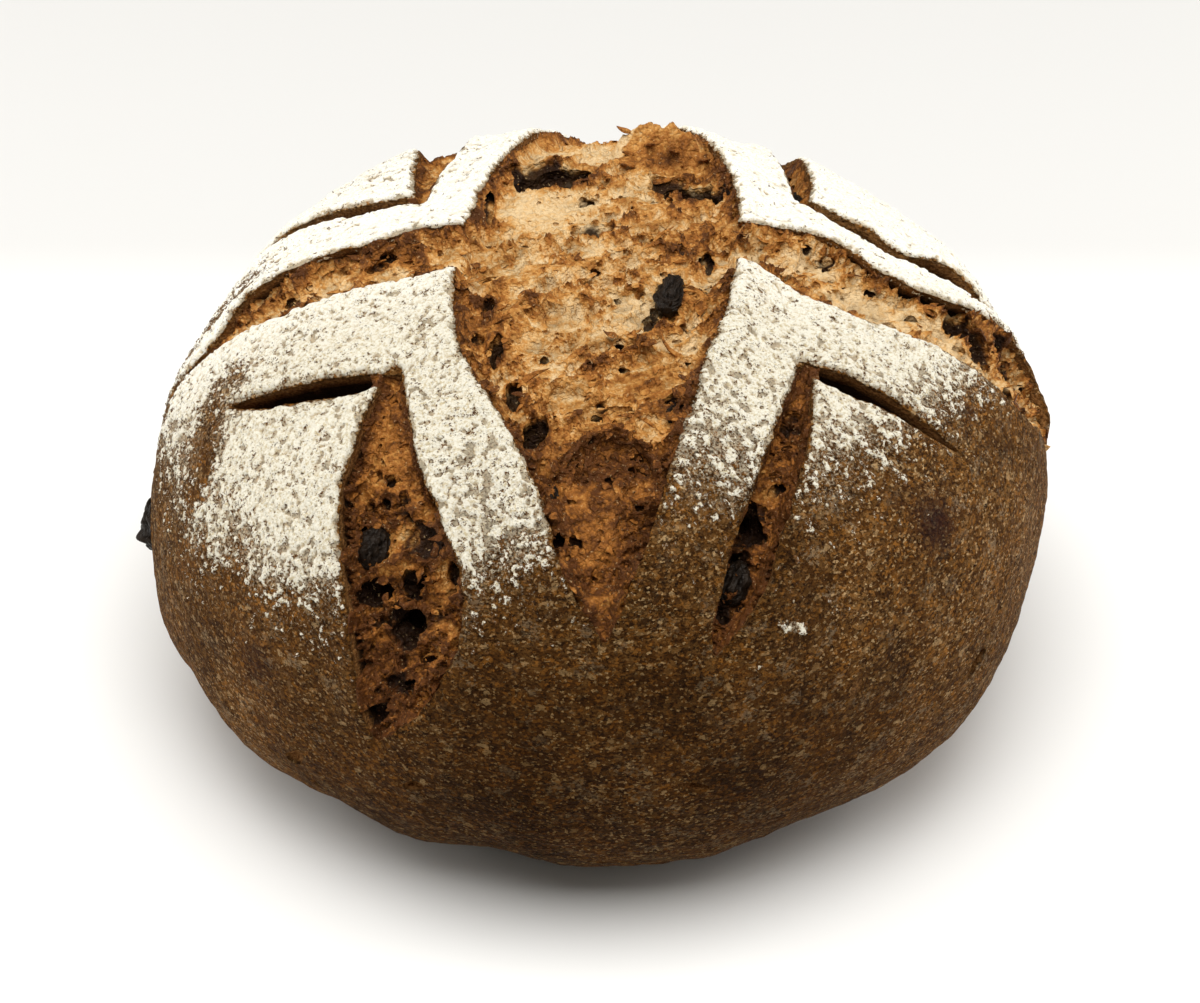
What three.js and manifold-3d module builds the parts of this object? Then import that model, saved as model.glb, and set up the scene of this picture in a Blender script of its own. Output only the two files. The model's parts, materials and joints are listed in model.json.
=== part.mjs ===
// A round hearth loaf of raisin walnut bread. The top is scored with a cross and an L-shaped pair of cuts
// in each quarter, and the cuts have sprung open in the oven. The loaf is one solid; every raisin that shows
// is a solid of its own, seated in a socket in the loaf.
// Millimetres, +Z up, origin at the middle of the flat base, front of the loaf towards -Y.
//
// Places on the loaf are given on its skin: u to the right and v to the back, in millimetres measured along
// the crust from the apex, so that a cut is described as a baker's blade draws it.
import * as THREE from "three";
import { mergeVertices } from "three/addons/utils/BufferGeometryUtils.js";
import Module from "manifold-3d";

const wasm = await Module();
wasm.setup();

// Driving dimensions of the loaf
const LOAF_RADIUS = 110;
const LOAF_HEIGHT = 124;
const BELLY_HEIGHT = 52;
const BASE_RADIUS = 72;
const DOME_POWER = 2.42; // superellipse powers: 2 is an ellipse, more is squarer
const FOOT_POWER = 2.28;
const BELLY_TILT = 4; // the belly sits this much higher on the right and lower on the left
const SWELL = 1.1; // slow lumps of the crust
const BASE_EASE = 30; // relief fades out over this length of skin above the base

// Mesh fineness
const RING_STEP_TOP = 6.2;
const RING_STEP_FOOT = 12;
const LOAF_SEGMENTS = 68;

// The cuts
const CUT_TOP = 16; // the cutting solids reach this far above the skin
const LIP_SPREAD = 10; // a raised lip falls away over this length of skin
const LIP_SIDE_BLEND = 6; // the lips of a cut's two sides pass into each other over this length
const LIP_FULL_HALF_WIDTH = 5; // a cut at least this half-width open has its full lip
const END_FADE_POWER = 0.45; // how quickly a cut gets shallow towards its ends
const END_DEPTH_SHARE = 0.5; // share of its depth that a cut keeps at its ends

// Slow bulges and dents of the crust: place, height and spread
const BULGES = [
  { at: [-58, 66], height: 3.6, spread: 27 },
  { at: [-30, 74], height: 1.2, spread: 15 },
  { at: [50, 68], height: 2.4, spread: 30 },
  { at: [118, 10], height: -2, spread: 18 },
  { at: [-110, 38], height: -1.8, spread: 20 },
  { at: [150, -118], height: 2.6, spread: 40 },
  { at: [-153, -115], height: 2.2, spread: 22 },
  { at: [-164, -44], height: 1.6, spread: 25 },
  { at: [-121, -155], height: -2, spread: 16 },
  { at: [-50, -199], height: -3, spread: 30 },
];

// Each cut runs along its stations [u, v, half-width]. Sideways cuts run left to right, so that their left
// hand is the back; lengthwise cuts run front to back, so that their left hand is the left. lip, undercut and
// floor are given for the left hand and the right hand, floor also for the middle, as heights over the skin.
const CUTS = [
  {
    name: "centre",
    stations: [
      [2, -114, 0.6],
      [1, -98, 8.5],
      [1, -80, 14],
      [0, -60, 21],
      [-2, -36, 29],
      [0, -8, 32],
      [3, 22, 30.5],
      [4, 50, 25],
      [3, 80, 15],
      [2, 114, 0.6],
    ],
    grid: [36, 12],
    lip: { left: 2.6, right: 3.6 },
    undercut: { left: 1.6, right: 1.2 },
    floor: { left: -3.4, middle: -1.6, right: -2.6 },
    crag: 1.3,
  },
  {
    name: "left arm",
    stations: [
      [-124, 1, 0.6],
      [-98, -3, 1.6],
      [-86, -2.5, 4.6],
      [-72, -3, 7],
      [-54, -3.5, 6.8],
      [-38, -3, 8.6],
      [-28, -3, 8.6],
    ],
    grid: [18, 5],
    lip: { left: 3.6, right: 0.4 },
    undercut: { left: 2.2, right: 0 },
    floor: { left: -2.4, middle: -1.9, right: -1.8 },
    crag: 0.8,
  },
  {
    name: "right arm",
    stations: [
      [29, 0.5, 8],
      [38, 0, 8.6],
      [50, -3.5, 11.5],
      [62, -10, 9.6],
      [76, -13, 8],
      [91, -13, 9.4],
      [106, -11, 12.5],
      [119, -8, 11.5],
      [129, -10, 4.5],
      [135, -11, 0.6],
    ],
    grid: [22, 6],
    lip: { left: 3.2, right: 0.4 },
    undercut: { left: 2.4, right: 0 },
    floor: { left: -3, middle: -2.2, right: -2 },
    crag: 1,
  },
  {
    name: "front left sideways",
    stations: [
      [-90, -31.5, 0.5],
      [-80, -37, 1.9],
      [-69, -40.5, 2.3],
      [-58, -43.5, 2.6],
      [-45, -46, 1.6],
    ],
    grid: [9, 2],
    lip: { left: 1.6, right: 0.2 },
    undercut: { left: 1.6, right: 0.4 },
    floor: { left: -9, middle: -10, right: -6 },
    crag: 0.4,
  },
  {
    name: "front left lengthwise",
    stations: [
      [-65, -130, 0.6],
      [-59, -123, 7],
      [-51, -114, 12.5],
      [-46, -103, 15],
      [-47, -88, 12.8],
      [-48.5, -75, 10],
      [-47.5, -62, 6.4],
      [-46, -44, 2],
    ],
    grid: [20, 7],
    lip: { left: 1.6, right: 1 },
    undercut: { left: 0.6, right: 0.4 },
    floor: { left: -4.2, middle: -3.6, right: -3 },
    crag: 1.7,
  },
  {
    name: "front right sideways",
    stations: [
      [47, -41.5, 1.4],
      [56, -44.5, 2.6],
      [67, -46.5, 2],
      [79, -49.5, 1.4],
      [89, -50.5, 0.5],
    ],
    grid: [9, 2],
    lip: { left: 1.8, right: 0.2 },
    undercut: { left: 1.6, right: 0.4 },
    floor: { left: -10, middle: -11, right: -7 },
    crag: 0.4,
  },
  {
    name: "front right lengthwise",
    stations: [
      [29, -116, 0.6],
      [30.5, -110, 3],
      [35, -98, 5],
      [38, -85, 4.8],
      [41, -74, 4.4],
      [44, -62, 3.8],
      [47.5, -42, 1.6],
    ],
    grid: [15, 4],
    lip: { left: 0.8, right: 1.4 },
    undercut: { left: 0.6, right: 1 },
    floor: { left: -5.2, middle: -5.2, right: -4 },
    crag: 1.2,
  },
  {
    name: "back left sideways",
    stations: [
      [-96, 44, 0.5],
      [-84, 42, 1.5],
      [-70, 35, 2],
      [-58, 30.5, 2.5],
      [-44, 29, 1.6],
    ],
    grid: [9, 2],
    lip: { left: 2.4, right: 0.2 },
    undercut: { left: 1.6, right: 0.4 },
    floor: { left: -8, middle: -9, right: -5 },
    crag: 0.4,
  },
  {
    name: "back left lengthwise",
    stations: [
      [-43, 27, 1.4],
      [-42, 45, 3.4],
      [-40, 58, 5.2],
      [-40, 75, 7],
      [-42, 95, 8],
      [-46, 112, 5],
      [-49, 122, 0.6],
    ],
    grid: [15, 4],
    lip: { left: 1.6, right: 1 },
    undercut: { left: 1, right: 0.6 },
    floor: { left: -4.5, middle: -2.6, right: -3.6 },
    crag: 1.2,
  },
  {
    name: "back right sideways",
    stations: [
      [50, 33, 1.4],
      [58, 24.5, 2.2],
      [66, 18.5, 2.8],
      [75, 14, 1.8],
      [86, 14, 3.6],
      [96, 12, 3.2],
      [108, 9, 0.5],
    ],
    grid: [12, 2],
    lip: { left: 2.6, right: 0.2 },
    undercut: { left: 1.6, right: 0.4 },
    floor: { left: -8, middle: -9, right: -4 },
    crag: 0.4,
  },
  {
    name: "back right lengthwise",
    stations: [
      [50.5, 30, 1.4],
      [51, 44, 3],
      [50, 60, 3.6],
      [49, 78, 4.6],
      [46, 98, 4],
      [43, 114, 0.6],
    ],
    grid: [14, 4],
    lip: { left: 0.8, right: 1.6 },
    undercut: { left: 0.6, right: 1 },
    floor: { left: -5, middle: -6, right: -4.5 },
    crag: 1,
  },
];

// Torn crumb that stands up inside the centre cut: a crest along [u, v] to [u, v]
const CRESTS = [
  { from: [8, 56], to: [32, 50], height: 8, spread: 7 },
  { from: [-24, 40], to: [-14, 52], height: 2.5, spread: 6 },
  { from: [-12, -70], to: [12, -68], height: 2.2, spread: 4.5 },
];

// Open gas pockets in the crumb and blown blisters in the crust: place, depth of the middle, half-sizes along
// u, v and the depth
const POCKETS = [
  { at: [-12, 37], depth: 4.5, half: [7, 4.2, 4.5] },
  { at: [25, 31], depth: 4.5, half: [5, 4, 5] },
  { at: [-24, -40], depth: 4.6, half: [3, 4.5, 4] },
  { at: [-1, 14], depth: 2.6, half: [4.5, 3, 2.6] },
  { at: [24, -33], depth: 3.4, half: [3, 4.5, 3.2] },
  { at: [-44, -103], depth: 5.4, half: [4, 6, 5] },
  { at: [-40, -80], depth: 4.6, half: [5.5, 4.5, 3.4] },
  { at: [37.5, -86], depth: 6.6, half: [3, 4.6, 4] },
  { at: [104, -6], depth: 4.4, half: [5, 4, 4.5] },
  { at: [120, -93], depth: 0.6, half: [2.4, 5, 2.2] },
  { at: [-103, -125], depth: 0.4, half: [4.4, 2, 2] },
  { at: [-57, -144], depth: 0.4, half: [3.2, 1.8, 1.6] },
];

// The raisins that show: place, depth of the middle, half-sizes along the raisin, across it and in depth, and
// the turn of its length from the u axis in degrees
const RAISINS = [
  { name: "raisin_left_side", at: [-141, -22], depth: 2.2, half: [8, 4.4, 4], turn: 75 },
  { name: "raisin_centre", at: [17, -20], depth: 1.4, half: [7.2, 3.2, 3.4], turn: 80 },
  { name: "raisin_centre_small", at: [18, -58], depth: 3.8, half: [3, 2.6, 2.4], turn: 20 },
  { name: "raisin_centre_edge", at: [-9.6, -81], depth: 4.6, half: [4.6, 2.4, 2.8], turn: 110 },
  { name: "raisin_front_left_cut", at: [-54, -85], depth: 5.6, half: [5.2, 4.2, 3.6], turn: 60 },
  { name: "raisin_front_right_cut", at: [34, -99], depth: 7, half: [5.4, 3.2, 3.2], turn: 75 },
  { name: "raisin_back_right_cut", at: [51, 43], depth: 5, half: [3.6, 2.4, 2.6], turn: 95 },
];
const SOCKET_GAP = 0.35;
const POCKET_SEGMENTS = [9, 6];
const RAISIN_SEGMENTS = [13, 8];
const RAISIN_WRINKLE = 0.11; // depth of the wrinkles as a share of the raisin's size

// Colours and finish
const CRUST = { color: 0x6b4424, roughness: 0.75, metalness: 0 };
const RAISIN = { color: 0x17110f, roughness: 0.45, metalness: 0 };

// The loaf's half section from the apex over the belly to the edge of the base, as (radius, 0, height).
class LoafMeridian extends THREE.Curve {
  getPoint(t, target = new THREE.Vector3()) {
    if (t < 0.5) {
      const turn = t * Math.PI;
      const rise = LOAF_HEIGHT - BELLY_HEIGHT;
      const radius = LOAF_RADIUS * Math.sin(turn) ** (2 / DOME_POWER);
      return target.set(radius, 0, BELLY_HEIGHT + rise * Math.cos(turn) ** (2 / DOME_POWER));
    }
    const drop = (2 * t - 1) * BELLY_HEIGHT;
    const shareAtBase = 1 - (BASE_RADIUS / LOAF_RADIUS) ** FOOT_POWER;
    const share = 1 - shareAtBase * (drop / BELLY_HEIGHT) ** FOOT_POWER;
    return target.set(LOAF_RADIUS * share ** (1 / FOOT_POWER), 0, BELLY_HEIGHT - drop);
  }
}
const meridian = new LoafMeridian();
meridian.arcLengthDivisions = 1200;
const SKIN_LENGTH = meridian.getLength();

const mix = (a, b, share) => a + (b - a) * share;
const clamp = THREE.MathUtils.clamp;
const smoothstep = THREE.MathUtils.smoothstep;

// Smooth lattice noise from -1 to 1, the same in every run.
function latticeValue(i, j) {
  const wave = Math.sin(i * 127.1 + j * 311.7) * 43758.5453;
  return 2 * (wave - Math.floor(wave)) - 1;
}
function noise(x, y) {
  const [i, j] = [Math.floor(x), Math.floor(y)];
  const across = smoothstep(x - i, 0, 1);
  const along = smoothstep(y - j, 0, 1);
  const near = mix(latticeValue(i, j), latticeValue(i + 1, j), across);
  const far = mix(latticeValue(i, j + 1), latticeValue(i + 1, j + 1), across);
  return mix(near, far, along);
}

// The point at a place on the skin, raised by height along the skin's normal.
function skinPoint(u, v, height) {
  const reach = clamp(Math.hypot(u, v) / SKIN_LENGTH, 0, 1);
  const angle = Math.atan2(v, u);
  const foot = meridian.getPointAt(reach);
  const tangent = meridian.getTangentAt(reach);
  const radius = foot.x - height * tangent.z;
  const level = foot.z + height * tangent.x;
  const tilt = BELLY_TILT * (foot.x / LOAF_RADIUS) * Math.sin((Math.PI * foot.z) / LOAF_HEIGHT);
  return new THREE.Vector3(
    radius * Math.cos(angle),
    radius * Math.sin(angle),
    level + tilt * Math.cos(angle),
  );
}

// A cut's centre line on the skin, with its half-width as the third coordinate.
function cutLine(cut) {
  return new THREE.CatmullRomCurve3(cut.stations.map((station) => new THREE.Vector3(...station)));
}
const CUT_SAMPLES = 60;
for (const cut of CUTS) {
  cut.line = cutLine(cut);
  cut.samples = cut.line.getPoints(CUT_SAMPLES);
}

// How far the crust is raised at a place by the lips of the cuts near it.
function lipHeight(u, v) {
  let highest = 0;
  for (const cut of CUTS) {
    let nearest = Infinity;
    let index = 0;
    cut.samples.forEach((sample, i) => {
      const distance = Math.hypot(sample.x - u, sample.y - v);
      if (distance < nearest) [nearest, index] = [distance, i];
    });
    const sample = cut.samples[index];
    const before = cut.samples[Math.max(index - 1, 0)];
    const after = cut.samples[Math.min(index + 1, CUT_SAMPLES)];
    const run = new THREE.Vector2(after.x - before.x, after.y - before.y).normalize();
    const leftward = run.cross(new THREE.Vector2(u - sample.x, v - sample.y));
    const side = smoothstep(leftward, -LIP_SIDE_BLEND, LIP_SIDE_BLEND);
    const gap = Math.max(nearest - sample.z, 0);
    const share = Math.min(sample.z / LIP_FULL_HALF_WIDTH, 1);
    const lip = mix(cut.lip.right, cut.lip.left, side) * share * Math.exp(-((gap / LIP_SPREAD) ** 2));
    highest = Math.max(highest, lip);
  }
  return highest;
}

// Height of the loaf's slow lumps over the plain skin; the crust adds the lips of the cuts.
function lumpHeight(u, v) {
  const ease = smoothstep(SKIN_LENGTH - Math.hypot(u, v), 0, BASE_EASE);
  const swell = SWELL * (noise(u / 46, v / 46) + 0.5 * noise(u / 23 + 7, v / 23));
  const bulge = BULGES.reduce((sum, { at, height, spread }) => {
    const gap = Math.hypot(u - at[0], v - at[1]);
    return sum + height * Math.exp(-((gap / spread) ** 2));
  }, 0);
  return ease * (swell + bulge);
}
const crustHeight = (u, v) => lumpHeight(u, v) + lipHeight(u, v);

// Height of the torn crumb in a cut: bowed across the cut, shallow at the ends, with crags and crests.
function crumbHeight(cut, along, across, u, v) {
  const { left, middle, right } = cut.floor;
  const bow = mix(middle, across > 0 ? left : right, Math.abs(across) ** 2.4);
  const fade = mix(END_DEPTH_SHARE, 1, Math.abs(Math.sin(Math.PI * along)) ** END_FADE_POWER);
  const crag = cut.crag * (noise(u / 5.5 + 3, v / 3.4) + 0.6 * noise(u / 3 - 5, v / 2.2));
  const crest = cut.name === "centre" ? crestHeight(u, v) : 0;
  return lumpHeight(u, v) + fade * (bow + crag) + crest;
}
function crestHeight(u, v) {
  const here = new THREE.Vector3(u, v, 0);
  return CRESTS.reduce((sum, crest) => {
    const ridge = new THREE.Line3(new THREE.Vector3(...crest.from, 0), new THREE.Vector3(...crest.to, 0));
    const gap = ridge.closestPointToPoint(here, true, new THREE.Vector3()).distanceTo(here);
    return sum + crest.height * Math.exp(-((gap / crest.spread) ** 2));
  }, 0);
}

// Moves every vertex of a geometry by a function of its own place, and leaves only merged positions.
function reshape(geometry, move) {
  const positions = geometry.getAttribute("position");
  const vertex = new THREE.Vector3();
  for (let i = 0; i < positions.count; i += 1) {
    const moved = move(vertex.fromBufferAttribute(positions, i), i);
    positions.setXYZ(i, moved.x, moved.y, moved.z);
  }
  geometry.deleteAttribute("normal");
  geometry.deleteAttribute("uv");
  return mergeVertices(geometry, 1e-4);
}

function solid(geometry) {
  return new wasm.Manifold(
    new wasm.Mesh({
      numProp: 3,
      vertProperties: new Float32Array(geometry.getAttribute("position").array),
      triVerts: new Uint32Array(geometry.index.array),
    }),
  );
}

function geometryOf(body) {
  const { numProp, vertProperties, triVerts } = body.getMesh();
  const positions = vertProperties.filter((_, i) => i % numProp < 3);
  const geometry = new THREE.BufferGeometry();
  geometry.setAttribute("position", new THREE.BufferAttribute(new Float32Array(positions), 3));
  geometry.setIndex(new THREE.BufferAttribute(new Uint32Array(triVerts), 1));
  geometry.computeVertexNormals();
  return geometry;
}

// The uncut loaf: a lathed dome, its rings closer together on the scored top, raised by the crust's relief.
function uncutLoaf() {
  const reaches = [0];
  while (reaches.at(-1) < SKIN_LENGTH) {
    const step = mix(RING_STEP_TOP, RING_STEP_FOOT, smoothstep(reaches.at(-1), 110, SKIN_LENGTH));
    reaches.push(Math.min(reaches.at(-1) + step, SKIN_LENGTH));
  }
  const section = reaches.map((reach) => new THREE.Vector2(reach, 1));
  section.push(new THREE.Vector2(BASE_RADIUS / 2, 0), new THREE.Vector2(0, 0));
  section.reverse();
  const lathed = new THREE.LatheGeometry(section, LOAF_SEGMENTS).rotateX(Math.PI / 2);
  return solid(
    reshape(lathed, (place) => {
      if (place.z < 0.5) return place;
      return skinPoint(place.x, place.y, crustHeight(place.x, place.y));
    }),
  );
}

// The solid that a cut takes away: a box bent along the cut, open above and with the torn crumb below.
function cutter(cut) {
  const box = new THREE.BoxGeometry(1, 1, 1, cut.grid[0], cut.grid[1], 1);
  return solid(
    reshape(box, (place) => {
      const along = place.x + 0.5;
      const across = 2 * place.y;
      const station = cut.line.getPoint(along);
      const run = cut.line.getTangent(along);
      const leftHand = new THREE.Vector2(-run.y, run.x).normalize();
      const atTop = place.z > 0;
      const under = across > 0 ? cut.undercut.left : cut.undercut.right;
      const fullness = Math.min(station.z / LIP_FULL_HALF_WIDTH, 1);
      const reach = across * (station.z + (atTop ? 0 : under * fullness));
      const u = station.x + leftHand.x * reach;
      const v = station.y + leftHand.y * reach;
      return skinPoint(u, v, atTop ? CUT_TOP : crumbHeight(cut, along, across, u, v));
    }),
  );
}

// An ellipsoid set into the skin, turned about the skin's normal; shape may wrinkle the unit ball first.
function ball({ at, depth, half, turn = 0 }, segments, grow = 0, shape = (point) => point) {
  const middle = skinPoint(at[0], at[1], -depth);
  const outward = skinPoint(at[0], at[1], 1).sub(skinPoint(at[0], at[1], 0)).normalize();
  const rightward = skinPoint(at[0] + 1, at[1], 0).sub(skinPoint(at[0], at[1], 0));
  const backward = outward.clone().cross(rightward).normalize();
  const frame = new THREE.Matrix4().makeBasis(backward.clone().cross(outward), backward, outward);
  frame.multiply(new THREE.Matrix4().makeRotationZ(THREE.MathUtils.degToRad(turn)));
  const size = new THREE.Vector3(...half).addScalar(grow);
  return reshape(new THREE.SphereGeometry(1, ...segments), (point) =>
    shape(point).multiply(size).applyMatrix4(frame).add(middle),
  );
}

// A raisin's skin: folds run along it, and it narrows at the stalk end.
function wrinkled(point) {
  const around = Math.atan2(point.z, point.y);
  const fold = Math.cos(5 * around + 2.2 * point.x) + 0.7 * Math.cos(3 * around - 3.1 * point.x + 1);
  const girth = (1 + RAISIN_WRINKLE * fold) * (1 - 0.16 * point.x);
  return new THREE.Vector3(point.x, point.y * girth, point.z * girth);
}

function buildLoaf() {
  let loaf = uncutLoaf();
  for (const cut of CUTS) loaf = loaf.subtract(cutter(cut));
  for (const pocket of POCKETS) loaf = loaf.subtract(solid(ball(pocket, POCKET_SEGMENTS)));
  for (const raisin of RAISINS) {
    loaf = loaf.subtract(solid(ball(raisin, RAISIN_SEGMENTS, SOCKET_GAP, wrinkled)));
  }
  const pieces = loaf.decompose().sort((a, b) => b.volume() - a.volume());
  return new THREE.Mesh(geometryOf(pieces[0]), new THREE.MeshStandardMaterial(CRUST));
}

function buildRaisin(raisin) {
  const geometry = ball(raisin, RAISIN_SEGMENTS, 0, wrinkled);
  geometry.computeVertexNormals();
  return new THREE.Mesh(geometry, new THREE.MeshStandardMaterial(RAISIN));
}

const bread = new THREE.Group();
const loaf = buildLoaf();
loaf.name = "loaf";
bread.add(loaf);
for (const raisin of RAISINS) {
  const mesh = buildRaisin(raisin);
  mesh.name = raisin.name;
  bread.add(mesh);
}

export default bread;
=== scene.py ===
import json
import math
import bpy
import numpy as np
from mathutils import Matrix, Vector

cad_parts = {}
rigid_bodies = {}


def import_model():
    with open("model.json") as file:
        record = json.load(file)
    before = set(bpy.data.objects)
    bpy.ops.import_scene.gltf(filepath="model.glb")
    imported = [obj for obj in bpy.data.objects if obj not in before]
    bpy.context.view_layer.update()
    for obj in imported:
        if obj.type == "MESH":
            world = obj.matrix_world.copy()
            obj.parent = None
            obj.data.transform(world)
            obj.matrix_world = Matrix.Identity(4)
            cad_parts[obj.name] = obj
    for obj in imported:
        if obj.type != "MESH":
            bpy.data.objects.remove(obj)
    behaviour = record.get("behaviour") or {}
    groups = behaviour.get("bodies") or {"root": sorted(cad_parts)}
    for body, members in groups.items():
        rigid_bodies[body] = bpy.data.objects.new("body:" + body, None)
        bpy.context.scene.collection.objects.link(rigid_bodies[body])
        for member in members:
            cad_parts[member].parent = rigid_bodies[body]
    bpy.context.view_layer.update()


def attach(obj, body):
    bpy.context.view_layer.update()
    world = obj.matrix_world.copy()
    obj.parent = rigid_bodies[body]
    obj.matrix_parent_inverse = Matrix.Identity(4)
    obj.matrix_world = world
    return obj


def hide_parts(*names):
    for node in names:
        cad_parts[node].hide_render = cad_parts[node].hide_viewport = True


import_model()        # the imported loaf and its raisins
mm = 0.001

# Camera of the photograph's view, in millimetres and degrees
cameraSet = {"place": (0.8, -566.3, 460.4), "pitch": 54, "lens": 84.03, "sensor": 36, "clipMetres": 20}


def setCamera():
    place = [mm * x for x in cameraSet["place"]]
    bpy.ops.object.camera_add(location=place, rotation=(math.radians(cameraSet["pitch"]), 0, 0))
    camera = bpy.context.object
    camera.data.lens = cameraSet["lens"]
    camera.data.sensor_width = cameraSet["sensor"]
    camera.data.sensor_fit = "HORIZONTAL"
    camera.data.clip_end = cameraSet["clipMetres"]
    bpy.context.scene.camera = camera
    print("camera set")


# Small helpers for meshes
def deselectAll():
    bpy.ops.object.select_all(action="DESELECT")


def selectOnly(pieces):
    deselectAll()
    for piece in pieces:
        piece.select_set(True)
    bpy.context.view_layer.objects.active = pieces[0]


def readPoints(piece):
    points = np.empty(len(piece.data.vertices) * 3)
    piece.data.vertices.foreach_get("co", points)
    return points.reshape(-1, 3)


def movePoints(piece, points):
    piece.data.vertices.foreach_set("co", np.ascontiguousarray(points).ravel())
    piece.data.update()


def paint(piece, name, values):
    layer = piece.data.attributes.new(name, "FLOAT", "POINT")
    layer.data.foreach_set("value", np.asarray(values, dtype=np.float32))


# Keeps the faces of a flat grid whose corners are all kept, with none that meet at a corner only
def keepFaces(piece, keep):
    mesh = piece.data
    corners = np.empty(4 * len(mesh.polygons), dtype=np.int32)
    mesh.polygons.foreach_get("vertices", corners)
    corners = corners.reshape(-1, 4)
    middles = readPoints(piece)[corners].mean(axis=1)
    column = np.unique(middles[:, 0].round(4), return_inverse=True)[1]
    row = np.unique(middles[:, 1].round(4), return_inverse=True)[1]
    whole = np.zeros((row.max() + 1, column.max() + 1), dtype=bool)
    whole[row, column] = keep[corners].all(axis=1)
    touching = True
    while touching:
        a, b, c, d = whole[:-1, :-1], whole[:-1, 1:], whole[1:, :-1], whole[1:, 1:]
        pinched = (a & d & ~b & ~c) | (b & c & ~a & ~d)
        touching = pinched.any()
        for part in (a, b, c, d):
            part &= ~pinched
    mesh.vertices.foreach_set("select", np.zeros(len(mesh.vertices), dtype=bool))
    mesh.edges.foreach_set("select", np.zeros(len(mesh.edges), dtype=bool))
    mesh.polygons.foreach_set("select", ~whole[row, column])
    bpy.ops.object.mode_set(mode="EDIT")
    bpy.ops.mesh.select_mode(type="FACE")
    bpy.ops.mesh.delete(type="FACE")
    bpy.ops.object.mode_set(mode="OBJECT")


# A flat grid between two corners, in millimetres along u and v
def flatSheet(name, low, high, step):
    deselectAll()
    columns = int((high[0] - low[0]) / step)
    rows = int((high[1] - low[1]) / step)
    bpy.ops.mesh.primitive_grid_add(x_subdivisions=columns, y_subdivisions=rows, size=1)
    sheet = bpy.context.object
    sheet.name = name
    points = readPoints(sheet)
    points[:, 0] = low[0] + (points[:, 0] + 0.5) * (high[0] - low[0])
    points[:, 1] = low[1] + (points[:, 1] + 0.5) * (high[1] - low[1])
    movePoints(sheet, points)
    return sheet


# Closes a flat sheet into a slab: its underside is one unit down and has few faces
def closeSheet(sheet, share=0.05):
    bpy.ops.object.mode_set(mode="EDIT")
    bpy.ops.mesh.select_mode(type="VERT")
    bpy.ops.mesh.select_all(action="SELECT")
    bpy.ops.mesh.extrude_region_move(TRANSFORM_OT_translate={"value": (0, 0, -1)})
    bpy.ops.mesh.select_less()
    bpy.ops.mesh.decimate(ratio=share)
    bpy.ops.mesh.select_all(action="SELECT")
    bpy.ops.mesh.normals_make_consistent(inside=False)
    bpy.ops.object.mode_set(mode="OBJECT")


def finishPiece(piece, node, angle):
    selectOnly([piece])
    bpy.ops.object.shade_smooth_by_angle(angle=math.radians(angle))
    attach(piece, "root")
    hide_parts(node)


# Smooth noise from -1 to 1, the same in every run
noiseSet = {"waveI": 127.1, "waveJ": 311.7, "scatter": 43758.5453, "shiftX": 17.3, "shiftY": -9.1}


def lattice(i, j):
    wave = np.sin(i * noiseSet["waveI"] + j * noiseSet["waveJ"]) * noiseSet["scatter"]
    return 2 * (wave - np.floor(wave)) - 1


def ease(x, low, high):
    share = np.clip((x - low) / (high - low), 0, 1)
    return share * share * (3 - 2 * share)


def noise2(x, y):
    i = np.floor(x)
    j = np.floor(y)
    across = ease(x - i, 0, 1)
    along = ease(y - j, 0, 1)
    near = lattice(i, j) * (1 - across) + lattice(i + 1, j) * across
    far = lattice(i, j + 1) * (1 - across) + lattice(i + 1, j + 1) * across
    return near * (1 - along) + far * along


def noise3(points, size):
    x, y, z = (points / size).T
    layer = np.floor(z)
    rise = ease(z - layer, 0, 1)
    stepX = noiseSet["shiftX"]
    stepY = noiseSet["shiftY"]
    below = noise2(x + stepX * layer, y + stepY * layer)
    above = noise2(x + stepX * (layer + 1), y + stepY * (layer + 1))
    return below * (1 - rise) + above * rise


# Adds noises to a start: each is its size along u and v, its shift along u and v, and its height
def layered(u, v, layers, start=0):
    total = start
    for sizeU, sizeV, shiftU, shiftV, height in layers:
        total = total + height * noise2(u / sizeU + shiftU, v / sizeV + shiftV)
    return total


# Noises of a few sizes and heights, each turned so that its lattice doesn't show
def turnedNoise(u, v, sizes, turn=0.7, shift=13):
    total = np.zeros(len(u))
    for step, (size, height) in enumerate(sizes):
        angle = turn * (step + 1)
        across = (u * np.cos(angle) - v * np.sin(angle)) / size + shift * step
        along = (u * np.sin(angle) + v * np.cos(angle)) / size
        total += height * noise2(across, along)
    return total


# Soft spots, 1 in the middle: a round one and an oval one
def roundSpot(u, v, at, spread):
    return np.exp(-((u - at[0]) ** 2 + (v - at[1]) ** 2) / spread ** 2)


def ovalSpot(u, v, at, spread):
    return np.exp(-((u - at[0]) / spread[0]) ** 2 - ((v - at[1]) / spread[1]) ** 2)


# How far a place is from the middle of an oval, 1 at its edge
def ovalReach(u, v, at, half):
    return np.hypot((u - at[0]) / half[0], (v - at[1]) / half[1])


# The loaf's form in millimetres. Places on it are u to the right and v to the back, along the crust
# from the apex
loafShape = {
    "radius": 110,
    "height": 124,
    "bellyHeight": 52,
    "baseRadius": 72,
    "domePower": 2.42,
    "footPower": 2.28,
    "bellyTilt": 4,
    "baseEase": 30,
    "swell": 1.1,
    "swellLayers": [(46, 46, 0, 0, 1), (23, 23, 7, 0, 0.5)],
    # place, height and spread of the slow bulges and dents
    "bulges": [
        ((-58, 66), 3.6, 27),
        ((-30, 74), 1.2, 15),
        ((50, 68), 2.4, 30),
        ((118, 10), -2, 18),
        ((-110, 38), -1.8, 20),
        ((150, -118), 2.6, 40),
        ((-153, -115), 2.2, 22),
        ((-164, -44), 1.6, 25),
        ((-121, -155), -2, 16),
        ((-50, -199), -3, 30),
    ],
}


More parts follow.
